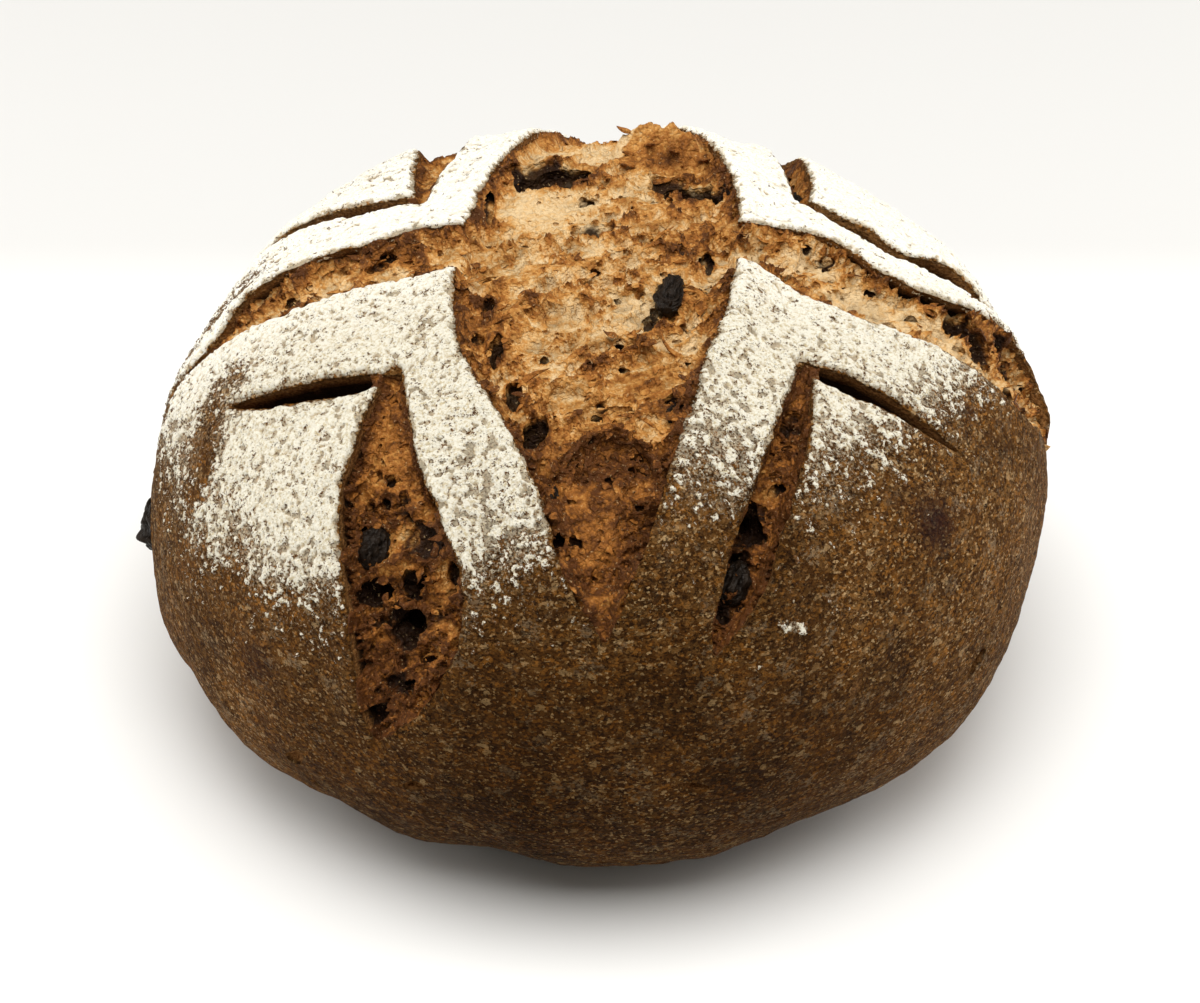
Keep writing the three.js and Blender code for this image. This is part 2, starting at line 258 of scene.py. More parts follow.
def halfSection(samples=6000, evenSamples=2400):
    shape = loafShape
    t = np.linspace(0, 1, samples)
    turn = np.minimum(t, 0.5) * np.pi
    rise = shape["height"] - shape["bellyHeight"]
    domeRadius = shape["radius"] * np.sin(turn) ** (2 / shape["domePower"])
    domeLevel = shape["bellyHeight"] + rise * np.abs(np.cos(turn)) ** (2 / shape["domePower"])
    drop = np.maximum(2 * t - 1, 0)
    foot = shape["footPower"]
    shareAtBase = 1 - (shape["baseRadius"] / shape["radius"]) ** foot
    footRadius = shape["radius"] * (1 - shareAtBase * drop ** foot) ** (1 / foot)
    radius = np.where(t < 0.5, domeRadius, footRadius)
    level = np.where(t < 0.5, domeLevel, shape["bellyHeight"] * (1 - drop))
    reach = np.concatenate([[0], np.cumsum(np.hypot(np.diff(radius), np.diff(level)))])
    even = np.linspace(0, reach[-1], evenSamples)
    radius = np.interp(even, reach, radius)
    level = np.interp(even, reach, level)
    outward = -np.gradient(level, even)
    upward = np.gradient(radius, even)
    size = np.hypot(outward, upward)
    return {
        "reach": even, "radius": radius, "level": level,
        "outward": outward / size, "upward": upward / size,
    }


skin = halfSection()
skinLength = skin["reach"][-1]


def skinPoint(u, v, height):
    reach = np.minimum(np.hypot(u, v), skinLength)
    angle = np.arctan2(v, u)
    radius, level, outward, upward = (
        np.interp(reach, skin["reach"], skin[name]) for name in ("radius", "level", "outward", "upward")
    )
    tilt = loafShape["bellyTilt"] * radius / loafShape["radius"]
    tilt = tilt * np.sin(np.pi * level / loafShape["height"])
    away = radius + height * outward
    up = level + height * upward + tilt * np.cos(angle)
    return np.stack([away * np.cos(angle), away * np.sin(angle), up], axis=-1)


# The place of points on the skin: a rough search along the section, then a close one
def skinPlace(points, stride=16):
    angle = np.arctan2(points[:, 1], points[:, 0])
    radius = np.hypot(points[:, 0], points[:, 1])
    height = np.clip(points[:, 2], 0, loafShape["height"])
    share = np.minimum(radius / loafShape["radius"], 1)
    tilt = loafShape["bellyTilt"] * share * np.sin(np.pi * height / loafShape["height"])
    level = points[:, 2] - tilt * np.cos(angle)

    def closest(index):
        gap = (radius[:, None] - skin["radius"][index]) ** 2 + (level[:, None] - skin["level"][index]) ** 2
        return gap.argmin(axis=1)

    rough = stride * closest(np.arange(0, len(skin["reach"]), stride))
    around = np.clip(rough[:, None] + np.arange(-stride, stride + 1), 0, len(skin["reach"]) - 1)
    nearest = around[np.arange(len(points)), closest(around)]
    over = (radius - skin["radius"][nearest]) * skin["outward"][nearest]
    over += (level - skin["level"][nearest]) * skin["upward"][nearest]
    reach = skin["reach"][nearest]
    return reach * np.cos(angle), reach * np.sin(angle), over


# The cuts: stations are u, v and half-width; lip, undercut and floor are for the left hand and the
# right hand, floor with the middle between. Sideways cuts run left to right, lengthwise front to back
cuts = [
    {
        "name": "centre",
        "stations": [(2, -114, 0.6), (1, -98, 8.5), (1, -80, 14), (0, -60, 21), (-2, -36, 29), (0, -8, 32),
                     (3, 22, 30.5), (4, 50, 25), (3, 80, 15), (2, 114, 0.6)],
        "lip": (2.6, 3.6), "undercut": (1.6, 1.2), "floor": (-3.4, -1.6, -2.6),
    },
    {
        "name": "leftArm",
        "stations": [(-124, 1, 0.6), (-98, -3, 1.6), (-86, -2.5, 4.6), (-72, -3, 7), (-54, -3.5, 6.8),
                     (-38, -3, 8.6), (-28, -3, 8.6)],
        "lip": (3.6, 0.4), "undercut": (2.2, 0), "floor": (-2.4, -1.9, -1.8),
    },
    {
        "name": "rightArm",
        "stations": [(29, 0.5, 8), (38, 0, 8.6), (50, -3.5, 11.5), (62, -10, 9.6), (76, -13, 8),
                     (91, -13, 9.4), (106, -11, 12.5), (119, -8, 11.5), (129, -10, 4.5), (135, -11, 0.6)],
        "lip": (3.2, 0.4), "undercut": (2.4, 0), "floor": (-3, -2.2, -2),
    },
    {
        "name": "frontLeftSideways",
        "stations": [(-90, -31.5, 0.5), (-80, -37, 1.9), (-69, -40.5, 2.3), (-58, -43.5, 2.6),
                     (-45, -46, 1.6)],
        "lip": (1.6, 0.2), "undercut": (1.6, 0.4), "floor": (-9, -10, -6),
    },
    {
        "name": "frontLeftLengthwise",
        "stations": [(-65, -130, 0.6), (-59, -123, 7), (-51, -114, 12.5), (-46, -103, 15), (-47, -88, 12.8),
                     (-48.5, -75, 10), (-47.5, -62, 6.4), (-46, -44, 2)],
        "lip": (1.6, 1), "undercut": (0.6, 0.4), "floor": (-4.2, -3.6, -3),
    },
    {
        "name": "frontRightSideways",
        "stations": [(47, -41.5, 1.4), (56, -44.5, 2.6), (67, -46.5, 2), (79, -49.5, 1.4),
                     (89, -50.5, 0.5)],
        "lip": (1.8, 0.2), "undercut": (1.6, 0.4), "floor": (-10, -11, -7),
    },
    {
        "name": "frontRightLengthwise",
        "stations": [(29, -116, 0.6), (30.5, -110, 3), (35, -98, 5), (38, -85, 4.8), (41, -74, 4.4),
                     (44, -62, 3.8), (47.5, -42, 1.6)],
        "lip": (0.8, 1.4), "undercut": (0.6, 1), "floor": (-5.2, -5.2, -4),
    },
    {
        "name": "backLeftSideways",
        "stations": [(-96, 44, 0.5), (-84, 42, 1.5), (-70, 35, 2), (-58, 30.5, 2.5), (-44, 29, 1.6)],
        "lip": (2.4, 0.2), "undercut": (1.6, 0.4), "floor": (-8, -9, -5),
    },
    {
        "name": "backLeftLengthwise",
        "stations": [(-43, 27, 1.4), (-42, 45, 3.4), (-40, 58, 5.2), (-40, 75, 7), (-42, 95, 8),
                     (-46, 112, 5), (-49, 122, 0.6)],
        "lip": (1.6, 1), "undercut": (1, 0.6), "floor": (-4.5, -2.6, -3.6),
    },
    {
        "name": "backRightSideways",
        "stations": [(50, 33, 1.4), (58, 24.5, 2.2), (66, 18.5, 2.8), (75, 14, 1.8), (86, 14, 3.6),
                     (96, 12, 3.2), (108, 9, 0.5)],
        "lip": (2.6, 0.2), "undercut": (1.6, 0.4), "floor": (-8, -9, -4),
    },
    {
        "name": "backRightLengthwise",
        "stations": [(50.5, 30, 1.4), (51, 44, 3), (50, 60, 3.6), (49, 78, 4.6), (46, 98, 4),
                     (43, 114, 0.6)],
        "lip": (0.8, 1.6), "undercut": (0.6, 1), "floor": (-5, -6, -4.5),
    },
]
cutSet = {
    "samples": 161, "lipSpread": 10, "lipBlend": 6, "lipFullHalfWidth": 5,
    "endFade": 0.45, "endDepth": 0.5, "bowPower": 2.4,
    "edgeWave": 0.42, "edgeLayers": [(3.1, 3.1, 0, 0, 1), (1.5, 1.5, 4, 0, 0.8)],
}


# A centripetal spline through the stations
def splinePoints(stations, count):
    knots = np.array(stations, dtype=float)
    knots = np.vstack([2 * knots[0] - knots[1], knots, 2 * knots[-1] - knots[-2]])
    place = np.linspace(0, len(stations) - 1, count)
    index = np.minimum(place.astype(int), len(stations) - 2)
    share = (place - index)[:, None]
    before, start, end, after = (knots[index + step] for step in range(4))

    def interval(a, b):
        return np.linalg.norm(b - a, axis=1)[:, None] ** 0.5

    first, middle, last = interval(before, start), interval(start, end), interval(end, after)
    leave = (start - before) / first - (end - before) / (first + middle) + (end - start) / middle
    arrive = (end - start) / middle - (after - start) / (middle + last) + (after - end) / last
    leave = leave * middle
    arrive = arrive * middle
    square = -3 * start + 3 * end - 2 * leave - arrive
    cube = 2 * start - 2 * end + leave + arrive
    return start + leave * share + square * share ** 2 + cube * share ** 3


for cut in cuts:
    cut["line"] = splinePoints(cut["stations"], cutSet["samples"])
    heading = np.gradient(cut["line"][:, :2], axis=0)
    cut["run"] = heading / np.linalg.norm(heading, axis=1)[:, None]
cutNamed = {cut["name"]: cut for cut in cuts}


def nearestOnCut(cut, u, v, chunk=20000):
    line = cut["line"]
    nearest = np.empty(len(u), dtype=int)
    for start in range(0, len(u), chunk):
        part = slice(start, start + chunk)
        gap = (u[part, None] - line[:, 0]) ** 2 + (v[part, None] - line[:, 1]) ** 2
        nearest[part] = gap.argmin(axis=1)
    foot = line[nearest]
    du = u - foot[:, 0]
    dv = v - foot[:, 1]
    left = cut["run"][nearest, 0] * dv - cut["run"][nearest, 1] * du
    return {
        "along": nearest / (len(line) - 1), "distance": np.hypot(du, dv), "half": foot[:, 2], "left": left,
    }


def edgeWave(u, v):
    return cutSet["edgeWave"] * layered(u, v, cutSet["edgeLayers"])


# Height of a cut's floor, bowed from the middle to each side
def floorBow(cut, across):
    left, middle, right = cut["floor"]
    return middle + (np.where(across > 0, left, right) - middle) * np.abs(across) ** cutSet["bowPower"]


# Distance to the nearest cut's ragged edge, and how far the lips raise the crust
def cutField(u, v, far=26):
    gap = np.full(len(u), float(far))
    lip = np.zeros(len(u))
    for cut in cuts:
        line = cut["line"]
        margin = line[:, 2].max() + far
        close = (u > line[:, 0].min() - margin) & (u < line[:, 0].max() + margin)
        close &= (v > line[:, 1].min() - margin) & (v < line[:, 1].max() + margin)
        index = np.flatnonzero(close)
        near = nearestOnCut(cut, u[index], v[index])
        side = ease(near["left"], -cutSet["lipBlend"], cutSet["lipBlend"])
        full = np.minimum(near["half"] / cutSet["lipFullHalfWidth"], 1)
        edge = near["distance"] - near["half"] - full * edgeWave(u[index], v[index])
        height = (cut["lip"][1] * (1 - side) + cut["lip"][0] * side) * full
        height = height * np.exp(-(np.maximum(edge, 0) / cutSet["lipSpread"]) ** 2)
        lip[index] = np.maximum(lip[index], height)
        gap[index] = np.minimum(gap[index], edge)
    return gap, lip


def lumpHeight(u, v):
    fade = ease(skinLength - np.hypot(u, v), 0, loafShape["baseEase"])
    total = loafShape["swell"] * layered(u, v, loafShape["swellLayers"])
    for at, height, spread in loafShape["bulges"]:
        total = total + height * roundSpot(u, v, at, spread)
    return fade * total


# The crust: its grid, its fine relief, the walls of the cuts and the torn blisters
crustSet = {
    "segments": 432, "rings": 200, "baseRings": 9, "ringShare": 0.73, "smoothAngle": 48,
    "grain": ((5.2, 0.28), (2.6, 0.2), (1.5, 0.1)),      # size and height of the bumps
    "grainFlat": 0.7, "grainFade": 14,
    "edgeDip": 0.8, "edgeRound": 0.9,
    "dimpleSize": 9, "dimpleHeight": 0.8, "dimpleFade": 0.3,      # of the underside
    "wallLevels": (-1.4, -0.6, 0.6, 1.8, 3.0, 4.4, 6.0, 8.0),     # depths below the crust's edge
    "wallLeast": 0.5, "wallColumn": 0.9, "wallRough": 0.5, "wallGrain": 1.9, "wallGrainDown": 1.6,
    "wallShift": 11, "undercutDepth": (0.8, 5),
    "cutDeeper": 9.5, "cutAbove": 14, "floorDepth": 60,
    # depths over which a wall is painted torn and free of flour, and deeper down darkened as painted shade
    "wallPaint": (0.3, 1.1), "deepShadePaint": (1.2, 4.5), "dustDepth": (0.2, 0.5),
    # torn blisters: place, depth of the middle, half-sizes along u, v and the depth
    "blisters": [((120, -93), 0.6, (2.4, 5, 2.2)), ((-103, -125), 0.4, (4.4, 2, 2)),
                 ((-57, -144), 0.4, (3.2, 1.8, 1.6)), ((29.5, -149), 0.5, (3.6, 1.5, 1.8)),
                 ((72, -117), 0.5, (1.6, 2.8, 1.6))],
    "blisterDetail": 4, "blisterRough": 0.22,
}


def crustGrain(points):
    total = np.zeros(len(points))
    for size, height in crustSet["grain"]:
        total += height * noise3(points, np.array((size, size, crustSet["grainFlat"] * size)))
    return total


def crustSurface(u, v):
    gap, lip = cutField(u, v)
    height = lumpHeight(u, v) + lip
    fade = ease(skinLength - np.hypot(u, v), 0, crustSet["grainFade"])
    height = height + fade * crustGrain(skinPoint(u, v, 0))
    height = height - crustSet["edgeDip"] * np.exp(-(np.maximum(gap, 0) / crustSet["edgeRound"]) ** 2)
    return height, gap


# The frame of a piece set into the skin: rightward, backward and outward
def skinFrame(at, depth):
    def point(u, v, height):
        return Vector(skinPoint(np.array([u]), np.array([v]), np.array([height]))[0])

    middle = point(at[0], at[1], -depth)
    outward = (point(at[0], at[1], 1) - point(at[0], at[1], 0)).normalized()
    rightward = point(at[0] + 1, at[1], 0) - point(at[0], at[1], 0)
    backward = outward.cross(rightward).normalized()
    rightward = backward.cross(outward)
    turn = Matrix((rightward, backward, outward)).transposed()
    return middle, turn


# The block that a cut takes out of the crust, a storey for each wall level
def cutterOf(cut, rows=2):
    length = np.hypot(*np.diff(cut["line"][:, :2], axis=0).T).sum()
    columns = int(length / crustSet["wallColumn"])
    deselectAll()
    bpy.ops.mesh.primitive_grid_add(x_subdivisions=columns, y_subdivisions=rows, size=1)
    cutter = bpy.context.object
    levels = crustSet["wallLevels"]
    bpy.ops.object.mode_set(mode="EDIT")
    bpy.ops.mesh.select_all(action="SELECT")
    for level in range(len(levels) + 1):
        bpy.ops.mesh.extrude_region_move(TRANSFORM_OT_translate={"value": (0, 0, 1)})
    bpy.ops.mesh.select_all(action="SELECT")
    bpy.ops.mesh.normals_make_consistent(inside=False)
    bpy.ops.object.mode_set(mode="OBJECT")
    points = readPoints(cutter)
    along = points[:, 0] + 0.5
    across = 2 * points[:, 1]
    storey = np.round(points[:, 2]).astype(int)          # 0 is the floor, the last is above the crust
    fine = np.linspace(0, 1, cutSet["samples"])
    at = [np.interp(along, fine, cut["line"][:, k]) for k in range(3)]
    run = [np.interp(along, fine, cut["run"][:, k]) for k in range(2)]
    full = np.minimum(at[2] / cutSet["lipFullHalfWidth"], 1)
    edgeU = at[0] - run[1] * across * at[2]
    edgeV = at[1] + run[0] * across * at[2]
    lump = lumpHeight(edgeU, edgeV)
    crustTop = lump + cutField(edgeU, edgeV)[1]
    depths = np.array((crustSet["floorDepth"],) + levels[::-1] + (-crustSet["cutAbove"],))
    depth = depths[storey]
    floor = lump + floorBow(cut, across) - crustSet["cutDeeper"]
    height = np.where(storey == 0, floor, np.maximum(crustTop - depth, floor + crustSet["wallLeast"]))
    under = np.where(across > 0, cut["undercut"][0], cut["undercut"][1]) * full
    sink = ease(depth, *crustSet["undercutDepth"])
    grainU = edgeU / crustSet["wallGrain"] + crustSet["wallShift"]
    grainV = edgeV / crustSet["wallGrain"] + depth / crustSet["wallGrainDown"]
    rough = crustSet["wallRough"] * sink * noise2(grainU, grainV)
    reach = across * (at[2] + under * sink + full * (edgeWave(edgeU, edgeV) + rough))
    u = at[0] - run[1] * reach
    v = at[1] + run[0] * reach
    movePoints(cutter, mm * skinPoint(u, v, height))
    return cutter


def seedBall(detail):
    deselectAll()
    bpy.ops.mesh.primitive_ico_sphere_add(subdivisions=detail, radius=1)
    return bpy.context.object


# A lumpy ball set into the skin, shaped from a copy of a seed
def ballAt(seed, at, depth, half, rough, lump=0.7):
    ball = seed.copy()
    ball.data = seed.data.copy()
    points = readPoints(ball)
    points = points * (1 + rough * noise3(points + at[0], np.full(3, lump))[:, None]) * np.array(half)
    middle, turn = skinFrame(at, depth)
    movePoints(ball, mm * (points @ np.array(turn).T + np.array(middle)))
    return ball


def subtractAll(piece, cutters):
    group = bpy.data.collections.new("cutters")
    for cutter in cutters:
        group.objects.link(cutter)
    selectOnly([piece])
    boolean = piece.modifiers.new("cuts", "BOOLEAN")
    boolean.operation = "DIFFERENCE"
    boolean.operand_type = "COLLECTION"
    boolean.collection = group
    boolean.solver = "MANIFOLD"
    bpy.ops.object.modifier_apply(modifier=boolean.name)
    bpy.data.collections.remove(group)
    bpy.data.batch_remove([cutter.data for cutter in cutters] + cutters)


def makeCrust():
    rings = crustSet["rings"]
    deselectAll()
    bpy.ops.mesh.primitive_uv_sphere_add(segments=crustSet["segments"], ring_count=rings, radius=1)
    crust = bpy.context.object
    crust.name = "loaf_crust"
    points = readPoints(crust)
    ring = np.round(np.arccos(np.clip(points[:, 2], -1, 1)) / np.pi * rings)
    angle = np.arctan2(points[:, 1], points[:, 0])
    skinRings = rings - crustSet["baseRings"]
    share = np.minimum(ring / skinRings, 1)
    reach = skinLength * (crustSet["ringShare"] * share + (1 - crustSet["ringShare"]) * share ** 2)
    u = reach * np.cos(angle)
    v = reach * np.sin(angle)
    points = skinPoint(u, v, crustSurface(u, v)[0])
    # the underside
    inBase = np.maximum(ring - skinRings, 0) / crustSet["baseRings"]
    baseRadius = loafShape["baseRadius"] * (1 - inBase)
    base = np.stack([baseRadius * np.cos(angle), baseRadius * np.sin(angle), np.zeros(len(u))], axis=-1)
    size = crustSet["dimpleSize"]
    dimple = np.maximum(noise2(base[:, 0] / size, base[:, 1] / size), 0)
    base[:, 2] = crustSet["dimpleHeight"] * dimple * ease(inBase, 0, crustSet["dimpleFade"])
    points = np.where((inBase > 0)[:, None], base, points)
    points[:, 2] = np.maximum(points[:, 2], 0)
    movePoints(crust, mm * points)
    cutters = [cutterOf(cut) for cut in cuts]
    seed = seedBall(crustSet["blisterDetail"])
    for at, depth, half in crustSet["blisters"]:
        cutters.append(ballAt(seed, at, depth, half, crustSet["blisterRough"]))
    bpy.data.objects.remove(seed)
    subtractAll(crust, cutters)
    u, v, height = skinPlace(readPoints(crust) / mm)
    surface, gap = crustSurface(u, v)
    depth = surface - height
    paint(crust, "wall", ease(depth, *crustSet["wallPaint"]))
    # deep: painted shade, darker deeper down a cut's wall
    paint(crust, "deep", ease(depth, *crustSet["deepShadePaint"]))
    paint(crust, "dust", flourCover(u, v, gap) * (1 - ease(depth, *crustSet["dustDepth"])))
    # the crust's bake tone, with painted shade darkening the front
    paint(crust, "bake", bakeAndShadeAt(u, v))
    paint(crust, "stain", stainAt(u, v))
    finishPiece(crust, "loaf", crustSet["smoothAngle"])
    print("crust cut and painted:", len(crust.data.polygons), "faces")
    return crust


# Dark purple stains in the crust where fruit lies just under it: place, spread, strength
crustStains = [((84, -72), 9, 1.0), ((-97, -98), 11, 0.7), ((-110, -112), 7, 0.4), ((118, -60), 8, 0.35),
               ((70, -70), 6, 0.25), ((90, -38), 4.5, 0.6)]


def stainAt(u, v):
    total = np.zeros(len(u))
    for at, spread, strength in crustStains:
        total += strength * roundSpot(u, v, at, spread)
    return np.minimum(total, 1)


# How pale the crust is baked, with painted shade that darkens the front, low down most of all
bakeAndShadeSet = {"palest": 0.95, "frontPaintedShade": 0.38, "lowPaintedShade": 0.5, "low": (95, 165),
           "patches": [(21, 21, 0, 0, 0.2)]}


def bakeAndShadeAt(u, v):
    # the front is darkened as painted shade, low down most of all
    front = np.maximum(-np.sin(np.arctan2(v, u)), 0) ** 2
    low = ease(np.hypot(u, v), *bakeAndShadeSet["low"])
    bake = bakeAndShadeSet["palest"] - bakeAndShadeSet["frontPaintedShade"] * front - bakeAndShadeSet["lowPaintedShade"] * low * front ** 3
    return np.clip(layered(u, v, bakeAndShadeSet["patches"], bake), 0, 1)


# Flour on the top, in degrees and millimetres
flourSet = {
    # bearing, how far the flour is dense and where it has faded out
    "reach": [(-180, 112, 128), (-150, 113, 133), (-125, 112, 119), (-100, 99, 107), (-82, 78, 99),
              (-60, 84, 115), (-40, 87, 106), (-20, 91, 104), (0, 100, 118), (45, 112, 128), (90, 108, 125),
              (135, 112, 128), (180, 112, 126)],
    "soften": (15, 20), "ragged": [(11, 11, 2, 0, 4), (4, 4, -3, 0, 2.5)],
    # the front is barer, with loose specks farther down
    "frontRight": (5, 30), "frontLeft": (-185, -160), "frontLess": 0.08, "specks": 0.52, "speckReach": 34,
    # place, spread along u and v, and the share of flour that is left there
    "thin": [((-93, -23), (9, 7), 0.66), ((-98, -37), (7, 9), 0.55), ((-105, -46), (7, 6), 0.7),
             ((26, -82), (12, 26), 0.8), ((64, -78), (20, 24), 0.8), ((-70, 60), (40, 14), 0.85),
             ((-100, 20), (20, 12), 0.6), ((-20, -84), (8, 13), 0.9), ((-32, -70), (8, 12), 0.94)],
    "thinGain": 1.4,
    # stray clumps: place, spread along u and v, and the cover in the middle
    "clumps": [((48, -107), (6, 2.4), 0.75), ((60, -101), (7, 4), 0.5), ((41, -117), (5, 3), 0.4)],
    "step": 0.36, "thickness": 0.42, "sink": 0.4, "under": 1.2, "smoothAngle": 70,
    # size and height of the grains
    "grain": ((2.4, 0.2), (1.2, 0.42), (0.72, 0.42)), "fluff": ((1.6, 0.2), (0.8, 0.15)),
    "fluffShift": 40, "heapStart": -0.8, "heapGain": 1.6, "heapPower": 0.8, "heapFull": 0.6,
    # at the edge of a cut
    "edgeGap": 0.2, "edgeCover": (-0.2, 0.3), "edgeRise": (0.15, 1.0),
    "edgeWave": [(1.4, 1.4, 0, -9, 0.8)],
    "leastCover": 0.03, "frontShade": (-12, 36),
    # the four fields between the arms of the cross: left or right, front or back
    "fields": {"flour_front_left": (-1, -1), "flour_front_right": (1, -1),
               "flour_back_left": (-1, 1), "flour_back_right": (1, 1)},
    "fieldReach": 132, "fieldOverlap": 6, "fieldDip": 26,
}


def flourCover(u, v, gap):
    bearing = np.degrees(np.arctan2(v, u))
    table = np.array(flourSet["reach"], dtype=float)
    dense = np.interp(bearing, table[:, 0], table[:, 1])
    fade = np.interp(bearing, table[:, 0], table[:, 2])
    reach = layered(u, v, flourSet["ragged"], np.hypot(u, v))
    cover = 1 - ease(reach, dense - flourSet["soften"][0], fade + flourSet["soften"][1])
    front = ease(-bearing, *flourSet["frontRight"]) * ease(bearing, *flourSet["frontLeft"])
    cover = cover * (1 - flourSet["frontLess"] * front)
    specks = flourSet["specks"] * front * (1 - ease(reach, dense, fade + flourSet["speckReach"]))
    cover = np.maximum(cover, specks)
    for at, spread, left in flourSet["thin"]:
        near = np.minimum(flourSet["thinGain"] * ovalSpot(u, v, at, spread), 1)
        cover = cover * (1 - (1 - left) * near)
    for at, spread, most in flourSet["clumps"]:
        cover = np.maximum(cover, most * ovalSpot(u, v, at, spread))
    return cover * ease(gap, *flourSet["edgeCover"])


def flourHeight(u, v, gap):
    cover = flourCover(u, v, gap)
    grain = turnedNoise(u, v, flourSet["grain"])
    heap = flourSet["heapStart"] + flourSet["heapGain"] * cover ** flourSet["heapPower"] - grain
    fluff = turnedNoise(u + flourSet["fluffShift"], v, flourSet["fluff"])
    height = ease(heap, 0, flourSet["heapFull"]) * (flourSet["sink"] + flourSet["thickness"] + fluff)
    edge = ease(layered(u, v, flourSet["edgeWave"], gap), *flourSet["edgeRise"])
    return -flourSet["sink"] + height * edge, cover


def makeFlour():
    middle = cutNamed["centre"]["line"]
    arms = np.vstack([cutNamed["leftArm"]["line"], cutNamed["rightArm"]["line"]])
    far = flourSet["fieldReach"]
    overlap = flourSet["fieldOverlap"]
    pieces = []
    for name, (sideU, sideV) in flourSet["fields"].items():
        low = (-far if sideU < 0 else -overlap, -far if sideV < 0 else -flourSet["fieldDip"])
        high = (overlap if sideU < 0 else far, overlap if sideV < 0 else far)
        sheet = flatSheet(name, low, high, flourSet["step"])
        u, v, level = readPoints(sheet).T
        gap = cutField(u, v)[0]
        inside = sideU * (u - np.interp(v, middle[:, 1], middle[:, 0])) > 0
        inside &= sideV * (v - np.interp(u, arms[:, 0], arms[:, 1])) > 0
        inside &= gap > flourSet["edgeGap"]
        inside &= flourCover(u, v, gap) > flourSet["leastCover"]
        keepFaces(sheet, inside)
        closeSheet(sheet)
        u, v, level = readPoints(sheet).T
        surface, gap = crustSurface(u, v)
        height, cover = flourHeight(u, v, gap)
        height = np.where(level > -0.5, height, -flourSet["under"])
        movePoints(sheet, mm * skinPoint(u, v, surface + height))
        paint(sheet, "thick", np.clip(height / flourSet["thickness"], 0, 1))
        paint(sheet, "cover", cover)
        # the front, where the flour colours are darkened as painted shade
        paint(sheet, "front", ease(-v, *flourSet["frontShade"]))
        finishPiece(sheet, "loaf", flourSet["smoothAngle"])
        pieces.append(sheet)
        print(name, "laid:", len(sheet.data.polygons), "faces")
    return pieces


# The torn crumb in the cuts
crumbSet = {
    "tuck": 1.4, "under": 9.0, "crustEdge": 1.3, "smoothAngle": 75,
    # ridges of torn crumb: ends, height, spread, and how much steeper they fall at the front and the left
    "crests": [((7, 57), (30, 51), 8, 4.8, 1.9), ((-24, 40), (-14, 52), 2.5, 6, 1)],
    "crestLeast": 0.82, "crestRagged": [(5.2, 5.2, 0, 0, 0.2), (2.3, 2.3, 0, 6, 0.17)],
    # how the crumb climbs to the lips, and how the arms run in under the centre
    "acrossMost": 1.15, "halfLeast": 0.5, "climbShare": 0.9, "climbMore": 0.2, "climbLeast": 0.3,
    "climbEdge": (-1, 0.05), "mouth": (-3.5, 0.5), "armSink": 7, "armSinkEdge": (-0.5, 3.5),
    "armClimb": (-1, 2),
    # how high the crumb may stand: under the lips at the edge, over them in the middle
    "roofUnder": 0.5, "roofRise": 7, "roofEdge": (0.4, 4), "tuckDrop": 1.2, "tuckEdge": (0, 1),
    # large, medium and small gas cells: size to the look's cell, depth to size, cover and seed
    "sizes": (2.6, 1.0, 0.45), "depths": (0.26, 0.34, 0.36), "covers": (1.3, 2.0, 2.2),
    "seeds": (3, 11, 23),
    "rims": (0.4, 0.85, 0.35), "rimToasts": (0.35, 0.5, 0.25), "rimToastLeast": 0.4, "cellTint": 0.1,
    "cellLift": 0.35, "mediumTear": (0.5, 0.6), "smallTear": (0.6, 0.5),
    # painted shade in the medium and large cells and by the walls
    "mediumPitShade": (0.3, 0.7, 1.5), "largePitShade": (0.2, 0.8, 1.5), "wallPitShade": 0.25,
    # where the crumb is torn more, and where it is calmer
    "tearLayers": [(7, 5, 5, 0, 1), (3, 2.4, 0, 8, 0.6)], "tearRange": (-0.4, 0.7), "tearClimb": 0.8,
    "tearMost": 1.4, "tearBack": (36, 50), "tearBackLess": 0.6, "calmest": 0.8, "calmRelief": 0.25,
    "climbRelief": 0.6, "fullHalf": 4,
    "grainLayers": [(0.95, 0.95, 0, 0, 0.14), (0.6, 0.6, 3, 0, 0.1)], "toastLayers": [(6, 6, 0, 0, 0.12)],
    # pieces and the cuts that they fill
    "groups": {
        "crumb_centre": ["centre"],
        "crumb_left_arm": ["leftArm"],
        "crumb_right_arm": ["rightArm"],
        "crumb_front_left": ["frontLeftSideways", "frontLeftLengthwise"],
        "crumb_front_right": ["frontRightSideways", "frontRightLengthwise"],
        "crumb_back_left": ["backLeftSideways", "backLeftLengthwise"],
        "crumb_back_right": ["backRightSideways", "backRightLengthwise"],
    },
}
# The look of each cut's crumb. step is the grid; cell is the half-size of a torn gas cell, aspect its
# length to its width, slant its lean and relief the scale of its depth; tint is how brown the crumb is;
# climb is how wide it climbs to the lips, and wallToast how brown it is there; bubbles is how many small
# gas holes are open; holes are u, v, half-sizes and depth; folds are u, v, half-sizes, height, side and
# toast of a curved ridge; toast is u, v, spreads and how much darker it is baked; smooth is u, v and
# spreads; shreds is how many stand up, and strands are the long ones: u, v, heading and lift in degrees,
# length, half-width, half-thickness, curl and toast
plainLook = {
    "step": 0.42, "cell": 2.2, "aspect": 1.3, "slant": 0.3, "relief": 0.8, "tint": 0.4, "climb": 2.5,
    "wallToast": 0.32, "bubbles": 30, "shreds": 50,
    "strands": [], "holes": [], "folds": [], "toast": [], "smooth": [],
}
crumbLooks = {cut["name"]: dict(plainLook) for cut in cuts}
for name in ("frontLeftSideways", "frontRightSideways", "backLeftSideways", "backRightSideways"):
    crumbLooks[name].update({"climb": 0, "bubbles": 0, "shreds": 0, "tint": 0.7})
